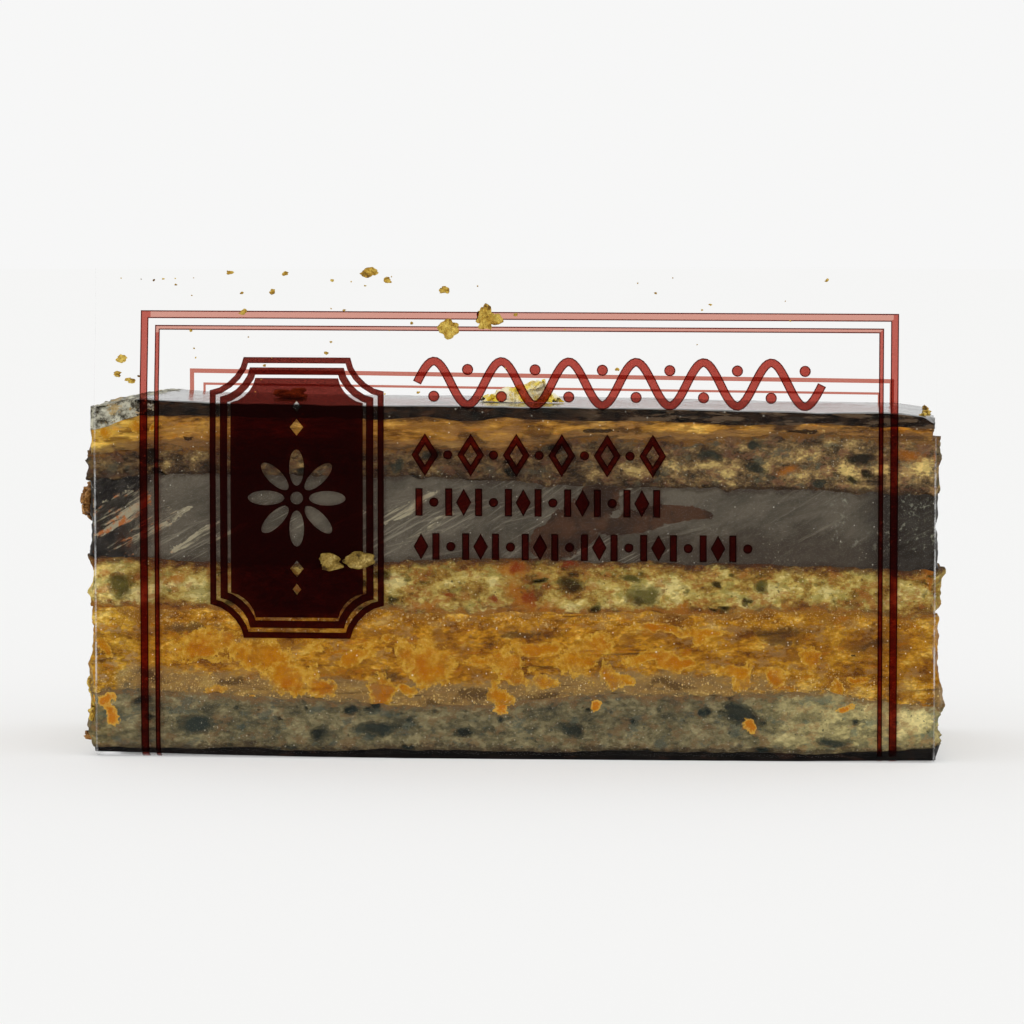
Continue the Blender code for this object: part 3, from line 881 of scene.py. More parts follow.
def cream_material(look):
    """Coffee butter cream: knife streaks, cracks in painted shade, muddy and frothy edges, smears on the
    film.
    """
    material, tree, shader = start_material(look["name"])
    place = tree.coordinates()
    along = tree.axis(place, "X")
    streaky = tree.stretched(place, (look["streak"], 1.0, 1.15), turn=look["turn"])
    lift = tree.times(tree.field("froth"), 0.06)
    crumb = crumbly(tree, streaky, 1.0, lift, [look[shade] for shade in SHADES])
    colour = stained(tree, crumb["Color"], streaky, 0.9, 0.52, 0.6, look["tan"])
    broad = tree.stretched(place, (0.38, 1.0, 0.8), turn=-3)
    colour = stained(tree, colour, broad, 0.55, 0.53, 0.65, look["brown"])
    hot = tree.stretched(place, (0.35, 1.0, 1.2), turn=4)
    colour = stained(tree, colour, hot, 0.8, 0.57, 0.7, look["hot"])
    shade = tree.mix(tree.step(along, *look["shade_from"]), look["left"], look["right"])
    shade = tree.mix(tree.step(along, *CREAM_TIP), shade, look["end"])
    colour = tree.mix(1.0, colour, shade, "MULTIPLY")
    muddy = tree.scaled(tree.noise(broad, 1.4, 6, 0.7), 1.6, tree.field("muddy"))
    muddy = tree.step(muddy, 1.05, 1.45)
    colour = tree.over(colour, look["mud"], muddy, 0.7)
    colour = blurred_joints(tree, colour, streaky, look["below"], look["above"], 0.35)
    # Cracks: dark lines of painted shade, with a shallow bump
    thin = tree.stretched(place, (0.10, 0.5, 1.9), turn=1.5)
    cracks = tree.step(tree.noise(thin, 0.62, 6, 0.75), 0.60, 0.655)
    cracks = tree.times(cracks, tree.step(tree.noise(place, 0.14, 2), 0.40, 0.55))
    colour = tree.over(colour, look["crack_shade"], cracks, 0.7)
    # Soft dark patches, in the cracks' tone: painted shadow
    cloudy = tree.scaled(tree.noise(place, 0.9, 7, 0.72), 2.6, -1.3)
    dark = tree.step(tree.plus(tree.field("dark"), cloudy), -0.15, 0.65)
    colour = tree.over(colour, look["crack_shade"], dark, 0.75)
    # Pores: painted shade in the cream's hollows
    pore = patch_of(tree, "pore", place, 1.0)
    colour = tree.over(colour, paint(38, 24, 14), pore["Patch"], 0.9)
    smear = patch_of(tree, "smear", place, 1.6)
    fine = tree.noise(place, 2.2, 6, 0.72)
    broad_smear = tree.noise(place, 0.22, 4, 0.6)
    butter = tree.mix(tree.step(fine, 0.30, 0.70), paint(170, 102, 4), paint(188, 122, 12))
    ember = tree.step(broad_smear, 0.47, 0.60)
    butter = tree.over(butter, paint(170, 90, 2), ember, 0.6)
    rim = tree.mix(tree.step(fine, 0.40, 0.62), paint(182, 128, 26), paint(208, 164, 62))
    ripe = tree.step(tree.noise(place, 0.30, 5, 0.65), 0.36, 0.52)
    ripe = tree.times(smear["Heart"], tree.scaled(ripe, 0.65, 0.35))
    butter = tree.mix(ripe, rim, butter)
    holes = tree.step(tree.noise(place, 1.5, 5, 0.75), 0.635, 0.67)
    solid = tree.minus(1.0, tree.times(holes, 0.9))
    patch = tree.times(smear["Patch"], solid)
    thick = tree.step(tree.noise(place, 0.55, 6, 0.72), 0.36, 0.54)
    patch = tree.times(patch, tree.scaled(thick, 0.55, 0.45))
    colour = tree.mix(patch, colour, butter)
    zone = tree.scaled(tree.noise(place, 0.7, 3), 1.8, tree.field("froth"))
    zone = tree.times(tree.step(zone, 1.15, 1.6), 0.85)
    zone = tree.times(zone, tree.minus(1.0, smear["Heart"]))
    # Froth: droplets whose bright rims are painted highlights
    for cells, amount, radius in FROTH:
        sockets = {"Place": place, "Cells": cells, "Amount": amount, "Radius": radius}
        drops = tree.use(specks_group(), sockets)
        tone = tree.mix(drops["Ring"], paint(172, 130, 64), look["speck"])
        colour = tree.over(colour, tone, drops["Mask"], zone)
    # Near-white specks: painted glints on wet points
    colour = speckled(tree, colour, place, 2.1, 0.28, 0.25, 0.85, paint(240, 228, 190))
    height = tree.minus(crumb["Grain"], cracks)
    sockets = {"Base Color": colour, "Roughness": tree.scaled(fine, 0.25, 0.35)}
    sockets |= {"Specular IOR Level": 0.08, "Normal": bump(tree, height, 0.22, 0.6)}
    set_shader(tree, shader, sockets)
    return material


def ganache_material():
    """Dark ganache: painted film reflection where it misses the film, brown where it sticks to it,
    scratched.
    """
    material, tree, shader = start_material("ganache")
    place = tree.coordinates()
    along = tree.axis(place, "X")
    high = tree.axis(place, "Z")
    across = tree.calculate("ABSOLUTE", tree.axis(place, "Y"))
    cut_face = tree.step(across, *CUT_FACE)
    broken = tree.noise(place, 0.5, 6, 0.7)
    # Painted haze: the film's reflection where it stands off the ganache, darker towards the bottom and
    # along the joints
    film_haze = tree.step(tree.scaled(broken, 7.0, along), *HAZE_LEFT)
    right = tree.step(tree.scaled(broken, 5.0, along), *HAZE_RIGHT)
    film_haze = tree.times(film_haze, tree.scaled(right, 0.75, 0.25))
    film_haze = tree.times(film_haze, cut_face)
    wisps = tree.noise(tree.stretched(place, (0.35, 1, 1), turn=24), 0.45, 6, 0.65)
    haze_colour = tree.mix(tree.step(wisps, 0.36, 0.62), paint(73, 66, 55), paint(95, 87, 74))
    lower = tree.step(tree.scaled(wisps, 6.0, high), 27.4, 24.2)
    lower = tree.times(lower, tree.step(along, 0.0, 22.0))
    haze_colour = tree.over(haze_colour, paint(62, 52, 42), lower, 0.75)
    nearest = tree.calculate("MINIMUM", tree.field("rise"), tree.field("drop"))
    edge = tree.step(tree.scaled(broken, 2.0, nearest), 1.6, 1.1)
    haze_colour = tree.over(haze_colour, paint(58, 46, 36), edge, 0.6)
    dark = tree.mix(tree.step(broken, 0.4, 0.6), paint(22, 16, 13), paint(44, 40, 35))
    colour = tree.mix(film_haze, dark, haze_colour)
    grit = tree.noise(place, 4.0, 4, 0.7)
    colour = tree.mix(0.7, colour, tree.mix(grit, (0.3, 0.3, 0.3, 1), (1.7, 1.7, 1.7, 1)), "MULTIPLY")
    worn = tree.scaled(tree.step(along, 12.0, 24.0), -0.6, 1.0)
    for turn, share in SCRATCHES:
        hair = tree.stretched(place, (0.06, 1.0, 2.3), turn=turn)
        scratches = tree.step(tree.noise(hair, 1.5, 4, 0.65), 0.565, 0.65)
        zone = tree.step(tree.noise(tree.stretched(place, (1, 1, 1), turn=turn), 0.16, 3), 0.46, 0.60)
        mask = tree.times(tree.times(scratches, zone), share)
        mask = tree.times(mask, tree.scaled(film_haze, 0.8, 0.2))
        mask = tree.times(mask, worn)
        colour = tree.mix(mask, colour, paint(132, 124, 106))
    stick = patch_of(tree, "smear", place, 0.75)
    brown = tree.mix(tree.step(broken, 0.42, 0.6), paint(44, 26, 14), paint(70, 42, 23))
    dust = tree.step(tree.noise(place, 5.0, 3, 0.7), 0.60, 0.66)
    brown = tree.over(brown, paint(110, 92, 74), dust, 0.35)
    colour = tree.over(colour, brown, stick["Patch"], 0.92)
    drag = patch_of(tree, "drag", place, 1.3)
    warm = tree.step(tree.noise(place, 0.9, 5, 0.7), 0.47, 0.60)
    warm = tree.times(warm, tree.step(along, -33.0, -36.0))
    hue = tree.mix(warm, paint(164, 154, 126), paint(178, 104, 52))
    flakes = tree.step(tree.noise(place, 1.7, 6, 0.75), 0.565, 0.61)
    zone = tree.times(tree.step(along, 31.0, 34.5), tree.step(high, 20.6, 23.0))
    zone = tree.times(zone, tree.step(tree.noise(place, 0.3, 3), 0.46, 0.54))
    flakes = tree.times(flakes, tree.times(zone, 0.6))
    colour = tree.mix(flakes, colour, paint(150, 148, 128))
    comb = tree.noise(tree.stretched(place, (0.10, 1.0, 1.0), turn=30), 1.5, 6, 0.72)
    combed = tree.step(comb, 0.47, 0.56)
    mask = tree.times(drag["Patch"], tree.scaled(combed, 0.85, 0.03))
    colour = tree.mix(mask, colour, hue)
    # Near-white specks: painted glints on wet points
    colour = speckled(tree, colour, place, 1.5, 0.22, 0.20, 0.75, paint(196, 190, 172))
    colour = speckled(tree, colour, place, 3.2, 0.16, 0.24, 0.55, paint(170, 160, 140))
    sockets = {"Base Color": colour, "Roughness": tree.scaled(wisps, 0.2, 0.30)}
    sockets |= {"Specular IOR Level": 0.12, "Normal": bump(tree, scratches, 0.05, 0.5)}
    set_shader(tree, shader, sockets)
    return material


def icing_material(name, is_top):
    """Dark chocolate icing with a glossy top, a cut side and a crushed shoulder with painted highlights.
    """
    material, tree, shader = start_material(name)
    place = tree.coordinates()
    fine = tree.noise(place, 1.1, 6, 0.7)
    dark = tree.mix(tree.step(fine, 0.38, 0.62), paint(12, 8, 6), paint(42, 29, 20))
    wide = tree.stretched(place, (0.4, 1, 1.2))
    dark = stained(tree, dark, wide, 0.7, 0.53, 0.5, paint(38, 38, 35))
    dark = stained(tree, dark, wide, 1.1, 0.56, 0.6, paint(74, 46, 28))
    if not is_top:
        worn = tree.stretched(place, (0.3, 1, 1.6))
        worn = stained(tree, dark, worn, 1.0, 0.50, 0.45, paint(124, 100, 76))
        dark = tree.mix(tree.step(tree.axis(place, "X"), *ICING_STREAKS), dark, worn)
    crushed = patch_of(tree, "crushed", place, 1.0)
    # On the crushed facet, the pale grit is a painted highlight of its rough surface, with stains of its
    # own
    grit = tree.step(tree.noise(place, 1.1, 7, 0.75), 0.38, 0.60)
    grit_and_glints = tree.mix(grit, paint(68, 62, 50), paint(206, 202, 180))
    grit_and_glints = stained(tree, grit_and_glints, place, 0.5, 0.54, 0.75, paint(190, 154, 84))
    grit_and_glints = stained(tree, grit_and_glints, place, 0.8, 0.55, 0.8, paint(46, 38, 30))
    colour = tree.mix(crushed["Patch"], dark, grit_and_glints)
    colour = speckled(tree, colour, place, 1.8, 0.16, 0.22, 0.6, paint(170, 164, 148))
    height = tree.times(grit, crushed["Patch"])
    height = tree.scaled(fine, 0.10, height)
    sockets = {"Base Color": colour, "Roughness": tree.scaled(crushed["Patch"], 0.5, 0.15)}
    sockets |= {"Specular IOR Level": 0.85 if is_top else 0.06}
    sockets |= {"Specular Tint": (0.96, 1.0, 0.89, 1.0), "Normal": bump(tree, height, 0.15, 0.7)}
    set_shader(tree, shader, sockets)
    return material


def base_material():
    material, tree, shader = start_material("chocolate_base")
    place = tree.coordinates()
    grain = tree.noise(tree.stretched(place, (0.3, 1, 1)), 1.2, 6, 0.7)
    colour = tree.mix(tree.step(grain, 0.35, 0.7), paint(4, 3, 3), paint(24, 19, 15))
    colour = stained(tree, colour, tree.stretched(place, (0.3, 1, 1)), 0.8, 0.57, 0.5, paint(52, 32, 22))
    sockets = {"Base Color": colour, "Roughness": 0.42, "Specular IOR Level": 0.06}
    sockets |= {"Normal": bump(tree, grain, 0.1, 0.6)}
    set_shader(tree, shader, sockets)
    return material


def film_material():
    """Clear film, which shows what it reflects, most at a slant, and here and there its cut sides."""
    material, tree, shader = start_material("clear_film")
    facing = tree.add("LayerWeight", {"Blend": 0.5}).outputs["Facing"]
    slant = tree.calculate("POWER", facing, 4.0)
    alpha = tree.scaled(slant, 0.55, 0.0015)
    place = tree.coordinates()
    rim = tree.step(tree.field("from_side"), 0.22, 0.10)
    patchy = tree.step(tree.noise(tree.stretched(place, (0, 1, 1)), 0.35, 5, 0.75), 0.44, 0.60)
    rim = tree.times(rim, tree.scaled(patchy, 0.20, 0.05))
    alpha = tree.calculate("MAXIMUM", alpha, rim)
    sockets = {"Base Color": (1.0, 1.0, 1.0, 1.0), "Metallic": 1.0, "Roughness": 0.06}
    sockets |= {"Alpha": alpha}
    set_shader(tree, shader, sockets)
    return material


# The film's cut sides, pale grey to white: a painted highlight of the light that the clear edge catches
def film_edge_material():
    material, tree, shader = start_material("film_edge")
    grain = tree.noise(tree.coordinates(), 0.3, 3)
    sockets = {"Base Color": tree.mix(grain, (0.62, 0.65, 0.66, 1), (0.95, 0.96, 0.97, 1))}
    sockets |= {"Roughness": 0.15, "Alpha": 0.75}
    set_shader(tree, shader, sockets)
    return material


def ink_material(name, tint, body):
    """Dark red printing ink: a tint over what lies behind it, with a thin body of its own."""
    material, tree, shader = start_material(name)
    grain = tree.noise(tree.coordinates(), 1.6, 4, 0.65)
    sockets = {"Base Color": tree.mix(grain, body, dimmed(body, 0.6))}
    sockets |= {"Roughness": 0.28, "Specular IOR Level": 0.1, "Normal": bump(tree, grain, 0.03, 0.5)}
    set_shader(tree, shader, sockets)
    clear = tree.add("BsdfTransparent", {"Color": tint})
    blend = tree.add("MixShader", {0: INK_COVER, 1: clear.outputs[0], 2: shader.outputs[0]})
    output = material.node_tree.nodes["Material Output"]
    tree.feed(output.inputs["Surface"], blend.outputs[0])
    return material


def crumb_material(name, tones):
    material, tree, shader = start_material(name)
    crumb = crumbly(tree, tree.coordinates(), 1.6, 0.0, tones)
    sockets = {"Base Color": crumb["Color"], "Roughness": 0.6, "Specular IOR Level": 0.15}
    sockets |= {"Normal": bump(tree, crumb["Grain"], 0.2, 0.8)}
    set_shader(tree, shader, sockets)
    return material


def gold_material(settings):
    material, tree, shader = start_material("gold_leaf")
    place = tree.coordinates()
    shine = tree.step(tree.noise(place, 0.55, 5, 0.6), 0.42, 0.58)
    worn = tree.step(tree.noise(place, 1.6, 5, 0.7), 0.57, 0.66)
    gold = tree.mix(shine, tuple(settings.gold), paint(255, 248, 214))
    sockets = {"Base Color": tree.over(gold, paint(186, 168, 96), worn, 0.25)}
    sockets |= {"Metallic": 0.85, "Roughness": tree.scaled(shine, 0.2, 0.16)}
    sockets |= {"Normal": bump(tree, tree.noise(place, 1.8, 5, 0.7), 0.25, 0.8)}
    set_shader(tree, shader, sockets)
    return material


def floor_material(brightness, glow):
    """A pale table that glows a little, as a lit white sweep does, so that its shadows stay soft."""
    material, tree, shader = start_material("studio_floor")
    grain = tree.noise(tree.coordinates(), 0.004, 2)
    pale = (brightness, brightness, brightness * 0.995, 1.0)
    dim = (brightness * 0.99, brightness * 0.99, brightness * 0.985, 1.0)
    sockets = {"Base Color": tree.mix(grain, dim, pale), "Roughness": 0.9}
    sockets.update({"Emission Color": (1.0, 1.0, 0.99, 1.0), "Emission Strength": glow})
    set_shader(tree, shader, sockets | {"Specular IOR Level": 0.0})
    return material


# The layers of the slice


def outline_at(share):
    """Places and outward directions round the slice, for shares of the way round from +X."""
    half = np.array((CAKE_LENGTH, CAKE_DEPTH)) / 2
    inner = half - CORNER_RADIUS
    corners = []
    for quarter, signs in enumerate(((1, 1), (-1, 1), (-1, -1), (1, -1))):
        for step in range(9):
            turn = math.radians(90 * quarter + 90 * step / 8)
            direction = np.array((math.cos(turn), math.sin(turn)))
            corners.append(inner * signs + direction * CORNER_RADIUS)
    path = np.array([(half[0], 0.0)] + corners + [(half[0], 0.0)])
    lengths = np.concatenate(([0.0], np.cumsum(np.hypot(*np.diff(path, axis=0).T))))
    reach = share * lengths[-1]
    places = np.stack([np.interp(reach, lengths, path[:, axis]) for axis in (0, 1)], axis=1)
    outward = places - np.clip(places, -inner, inner)
    return places, outward / np.maximum(np.hypot(*outward.T), 1e-9)[:, None]


def drum(points, rows, rings):
    """A closed drum with rows up its wall and rings on its caps, ready to be shaped."""
    start_piece()
    bpy.ops.mesh.primitive_cylinder_add(vertices=points, radius=1, depth=2, end_fill_type="NGON")
    made = bpy.context.object
    bpy.ops.object.mode_set(mode="EDIT")
    edit_select(made, "edges", lambda edge: abs(edge.verts[0].co.z - edge.verts[1].co.z) > 1)
    bpy.ops.mesh.subdivide(number_cuts=rows - 1)
    edit_select(made, "faces", lambda face: abs(face.normal.z) > 0.9)
    for _ in range(rings):
        bpy.ops.mesh.inset(thickness=0.9 / rings)
    bpy.ops.object.mode_set(mode="OBJECT")
    return made


def joints_of(name):
    """The joints below and above a layer."""
    number = LAYER_NAMES.index(name)
    return JOINT_NAMES[number], JOINT_NAMES[number + 1]


def wall_relief(name, points, outward):
    """How far a layer's skin stands out at each place, and the fields that its material reads."""
    _, recess, hollow_depth, crag = LAYERS[name]
    x, y, z = points.T
    level = z - RAISE
    seed = LAYER_NAMES.index(name) * 10
    front = smooth_step(-0.3, -0.9, outward[:, 1])
    back = smooth_step(0.3, 0.9, outward[:, 1])
    cut = front + back
    place = x * front + (BACK_MIRROR - x) * back
    fields = {}
    for field, blobs, bend in (
        ("pore", PORES.get(name, ()), 0.45),
        ("smear", SMEARS.get(name, ()), 0.3 if name == "ganache" else 0.75),
        ("red", REDS, 0.5),
        ("amber", AMBERS, 0.7),
        ("dark", SHADOW_PATCHES, 0.7),
        ("pale", PALES, 0.9),
        ("drag", DRAGS if name == "ganache" else (), 0.3),
    ):
        x_bent = place + bend * ripple(points, 2.4, seed + 1, 4)
        z_bent = level + 0.7 * bend * ripple(points, 2.2, seed + 5, 4)
        fields[field] = np.where(cut > 0.5, marks(blobs, x_bent, z_bent), NO_MARK)
    small = ripple(points * (1.0, 1.0, 1.5), 1.5, seed + 2, 3)
    if name.startswith("sponge"):
        fields["pore"] = np.maximum(fields["pore"], (small - 0.95) * 1.3)
    low, high = (joint_height(joint, x, y) for joint in joints_of(name))
    fields["rise"] = z - low
    fields["drop"] = high - z
    fields["muddy"] = np.zeros(len(points))
    fields["froth"] = np.zeros(len(points))
    if name == "coffee_cream_lower":
        loose = 1.5 * (ripple(points * (0.7, 1.0, 1.1), 2.8, seed + 6, 4) - 0.42)
        band = smooth_step(*SMEARS_FROM, level) * smooth_step(*SMEARS_TO, level)
        band *= smooth_step(*SMEARS_RIGHT, place)
        loose = loose * band - 0.1 - 0.35 * (1 - band)
        fields["smear"] = np.where(cut > 0.5, np.maximum(fields["smear"], loose), NO_MARK)
        thinned = 1 - 0.75 * smooth_step(*MUD_THINS, place)
        fields["muddy"] = smooth_step(*MUD_REACH, z - low) * thinned * smooth_step(*MUD_LEFT, place)
        fields["froth"] = smooth_step(*FROTH_REACH, z - low) + 0.75 * smooth_step(*FROTH_TOP, level)
    if name == "coffee_cream_upper":
        fields["muddy"] = smooth_step(*UPPER_MUD_REACH, z - low)
        fields["froth"] = 0.4 * smooth_step(*UPPER_FROTH, place)
    deep = smooth_step(-0.05, 0.55, fields["pore"])
    touching = smooth_step(-0.1, 0.15, fields["smear"])
    pits = hollow_depth * np.maximum(smooth_step(0.2, 0.8, small) * 0.35, deep)
    cut_relief = -np.maximum(pits, recess * (1 - touching)) - 0.03 * (1 + small)
    torn = crag * (ripple(points, 2.3, seed + 3, 4) - 0.1)
    torn -= 0.8 * crag * smooth_step(0.35, 0.8, ripple(points, 1.1, seed + 4, 2))
    side = np.sign(outward[:, 0])
    for lump_side, lump_z, lump_y, radius, out in END_LUMPS:
        distance = ((y - lump_y) ** 2 + (level - lump_z) ** 2) / radius**2
        torn += np.where(side == lump_side, out * np.exp(-distance), 0.0)
    ends = np.abs(outward[:, 0])
    if name == "chocolate_icing":
        corner = smooth_step(*SHOULDER_CUT, x) * np.clip((z - low) / (high - low), 0, 1)
        cut_relief -= corner * (1.1 + 0.45 * ripple(points, 0.8, seed + 8, 3))
    torn -= RIGHT_RECESS.get(name, 0.0) * np.clip(outward[:, 0], 0, 1)
    torn -= LEFT_FOOT_RECESS * smooth_step(*LEFT_FOOT, level) * np.clip(-outward[:, 0], 0, 1)
    relief = cut_relief * (1 - ends) + torn * ends
    return relief, fields


def make_layer(name, step, cap_rings):
    """One layer: a drum bent round the slice's outline, between the joints below and above it.

    The innermost rings of its caps meet along the slice's middle line and are welded there.
    """
    floor_joint, roof_joint = joints_of(name)
    thickness = np.mean(JOINTS[roof_joint]) - np.mean(JOINTS[floor_joint])
    rows = max(3, round(thickness * LAYERS[name][0]))
    perimeter = 2 * (CAKE_LENGTH + CAKE_DEPTH)
    made = drum(4 * round(perimeter / step / 4), rows, cap_rings)
    drum_points = read_points(made)
    turn = np.arctan2(drum_points[:, 1], drum_points[:, 0]) % (2 * math.pi)
    places, outward = outline_at(turn / (2 * math.pi))
    reach = np.clip((1 - np.hypot(drum_points[:, 0], drum_points[:, 1])) / 0.9, 0, 1)
    inset = CAKE_DEPTH / 2 * reach**1.7
    shrink = 1 - inset[:, None] / (np.array((CAKE_LENGTH, CAKE_DEPTH)) / 2)
    flat = places * shrink
    x, y = flat[:, 0] + CAKE_CENTRE_X, flat[:, 1]
    floor = joint_height(floor_joint, x, y)
    roof = joint_height(roof_joint, x, y)
    z = floor + (roof - floor) * (drum_points[:, 2] + 1) / 2
    points = np.stack((x, y, z), axis=1)
    relief, fields = wall_relief(name, points, outward)
    points[:, :2] += outward * (relief * np.exp(-inset / 0.8))[:, None]
    if name == "chocolate_icing":
        fields["crushed"] = crushed_field(points)
        rough = ripple(points, 1.1, 91, 4) * smooth_step(-0.1, 0.4, fields["crushed"])
        top = smooth_step(0.0, 0.8, drum_points[:, 2])
        points[:, 2] += 0.22 * rough * top - 0.10 * smooth_step(0.5, 0.0, inset) * top
        points[:, 2] -= top * corner_chip(points)
    low_x, high_x = CAD_BOX[0][0] / MM + SIDE_MARGIN, CAD_BOX[1][0] / MM - SIDE_MARGIN
    points[:, 0] = np.clip(points[:, 0], low_x, high_x)
    place_points(made, points * MM)
    for field, values in fields.items():
        add_field(made, field, values)
    bpy.ops.object.mode_set(mode="EDIT")
    edit_select(made, "faces", lambda face: len(face.verts) > 4)
    bpy.ops.mesh.delete(type="ONLY_FACE")
    bpy.ops.mesh.select_all(action="SELECT")
    bpy.ops.mesh.remove_doubles(threshold=WELD * MM)
    bpy.ops.object.mode_set(mode="OBJECT")
    return made


def crushed_field(points):
    """Above 0 on the crushed left shoulder of the icing, where its grit and painted highlights show."""
    edge = CRUSHED_EDGE + 0.9 * ripple(points, 3.0, 17, 2)
    return (edge - points[:, 0]) / CRUSHED_REACH


def corner_chip(points):
    """Depth of the chip in the icing's right front corner."""
    chip_x, chip_y, depth = ICING_CHIP
    away = np.hypot(points[:, 0] - chip_x, (points[:, 1] - chip_y) * 0.8)
    return depth * smooth_step(1.7, 0.3, away)


# The film and its print


def sheet_path():
    """The folded sheet seen from its end, from the front top edge: lengths, places and outward turns."""
    rows = []
    for side, height in ((-1, FILM_FRONT_HEIGHT), (1, FILM_BACK_HEIGHT)):
        wall = []
        for z in np.linspace(height, FILM_BOTTOM + FILM_FOLD_RADIUS, WALL_POINTS):
            lean = max(0.0, z - FILM_LEAN_START) / (FILM_FRONT_HEIGHT - FILM_LEAN_START)
            wall.append((side * (FILM_FACE + FILM_TOP_LEAN * lean * lean), z, side, 0.0))
        for turn in np.radians(np.linspace(0, 90, 9)[1:]):
            y = FILM_FACE - FILM_FOLD_RADIUS * (1 - math.cos(turn))
            z = FILM_BOTTOM + FILM_FOLD_RADIUS * (1 - math.sin(turn))
            wall.append((side * y, z, side * math.cos(turn), -math.sin(turn)))
        rows += wall if side < 0 else wall[::-1]
    path = np.array(rows)
    lengths = np.concatenate(([0.0], np.cumsum(np.hypot(*np.diff(path[:, :2], axis=0).T))))
    return lengths, path


SHEET_LENGTHS, SHEET_PATH = sheet_path()
SHEET_LENGTH = SHEET_LENGTHS[-1]


def wrap(across, down, lift):
    """Turns places on the flat sheet, across it and down from its front edge, into places in space."""
    y, z, out_y, out_z = (np.interp(down, SHEET_LENGTHS, SHEET_PATH[:, i]) for i in range(4))
    left = np.clip(-across / (FILM_WIDTH / 2), 0, 1)
    x = across + FILM_CENTRE_X - left * np.interp(down, FILM_SPREAD_PLACES, FILM_SPREAD)
    back = down > SHEET_LENGTH / 2
    tilt = FILM_BACK_TILT * across / FILM_WIDTH * (z / FILM_BACK_HEIGHT) ** 2
    z = z - np.where(back, tilt, 0.0)
    flat = np.stack((x, down, np.zeros(len(x))), axis=1)
    free = smooth_step(*FILM_FREE, z)
    swell = (0.03 + 0.16 * free) * ripple(flat, 17.0, 5, 2) * smooth_step(*FILM_LIFTS, z)
    lift = lift + swell
    return np.stack((x, y + out_y * lift, z + out_z * lift), axis=1)


def drape(piece, lift):
    """Wraps a piece that was drawn flat, across in X and down the sheet in -Y, round the sheet."""
    flat = read_points(piece) / MM
    down = -flat[:, 1] + PRINT_TURN * flat[:, 0] * np.sign(SHEET_LENGTH / 2 + flat[:, 1])
    place_points(piece, wrap(flat[:, 0], down, lift + flat[:, 2]) * MM)


def make_film():
    start_piece()
    columns = round(FILM_WIDTH / FILM_STEP)
    walls = [length for length in SHEET_LENGTHS if FILM_STEP < length < SHEET_LENGTH - FILM_STEP]
    downs = np.array([0.0] + walls + [SHEET_LENGTH])
    bpy.ops.mesh.primitive_grid_add(x_subdivisions=columns, y_subdivisions=len(downs) - 1, size=1)
    film = bpy.context.object
    flat = read_points(film)
    rows = np.rint((0.5 - flat[:, 1]) * (len(downs) - 1)).astype(int)
    place_points(film, wrap(flat[:, 0] * FILM_WIDTH, downs[rows], np.zeros(len(flat))) * MM)
    add_field(film, "from_side", (0.5 - np.abs(flat[:, 0])) * FILM_WIDTH)
    film.data.materials.append(film_material())
    film.data.materials.append(film_edge_material())
    apply_modifier(film, "SOLIDIFY", thickness=FILM_THICKNESS * MM, offset=0.0, material_offset_rim=1)
    return film


def flat_shape(kind, across, down, width, height, points=24):
    """A flat shape on the sheet, its middle at a place across it and down from its front edge."""
    start_piece()
    if kind == "oval":
        bpy.ops.mesh.primitive_circle_add(vertices=points, radius=0.5, fill_type="NGON")
    else:
        bpy.ops.mesh.primitive_plane_add(size=1)
    shape = bpy.context.object
    if kind == "lozenge":
        corners = np.array(((0, -0.5, 0), (0.5, 0, 0), (-0.5, 0, 0), (0, 0.5, 0)))
        place_points(shape, corners)
    flat = read_points(shape) * (width, height, 1.0) + (across, -down, 0.0)
    place_points(shape, flat * MM)
    return shape


def cut_along(shape, step):
    """Cuts a flat shape into strips both ways, so that it can follow the sheet."""
    flat = read_points(shape) / MM
    pick(shape)
    bpy.ops.object.mode_set(mode="EDIT")
    bpy.ops.mesh.select_mode(type="FACE")
    for axis in (0, 1):
        low, high = flat[:, axis].min(), flat[:, axis].max()
        for place in np.arange(low + step, high, step):
            bpy.ops.mesh.select_all(action="SELECT")
            centre, normal = [0.0, 0.0, 0.0], [0.0, 0.0, 0.0]
            centre[axis], normal[axis] = place * MM, 1.0
            bpy.ops.mesh.bisect(plane_co=centre, plane_no=normal)
    bpy.ops.object.mode_set(mode="OBJECT")


def cut_hole(shape, border):
    """Turns a flat shape into a ring as wide as the border."""
    pick(shape)
    bpy.ops.object.mode_set(mode="EDIT")
    bpy.ops.mesh.select_mode(type="FACE")
    bpy.ops.mesh.select_all(action="SELECT")
    bpy.ops.mesh.inset(thickness=border * MM)
    bpy.ops.mesh.delete(type="FACE")
    bpy.ops.object.mode_set(mode="OBJECT")
    return shape


def ink_edges(shape, ink):
    """Gives each inked area a denser rim, as printing ink gathers at its edges."""
    pick(shape)
    shape.data.materials.clear()
    shape.data.materials.append(bpy.data.materials[ink])
    shape.data.materials.append(bpy.data.materials["print_ink_edge"])
    bpy.ops.object.mode_set(mode="EDIT")
    bpy.ops.mesh.select_mode(type="FACE")
    bpy.ops.mesh.select_all(action="SELECT")
    bpy.ops.mesh.inset(thickness=INK_EDGE * MM)
    bpy.ops.mesh.select_all(action="INVERT")
    shape.active_material_index = 1
    bpy.ops.object.material_slot_assign()
    bpy.ops.object.mode_set(mode="OBJECT")


def print_shape(shape, name, ink="print_ink"):
    ink_edges(shape, ink)
    cut_along(shape, PRINT_STEP)
    if name == "print_frame":
        shift_back_frame(shape)
    drape(shape, FILM_THICKNESS / 2 + INK_HEIGHT)
    finish_piece(shape, name, "film_wrap", smooth_angle=80)


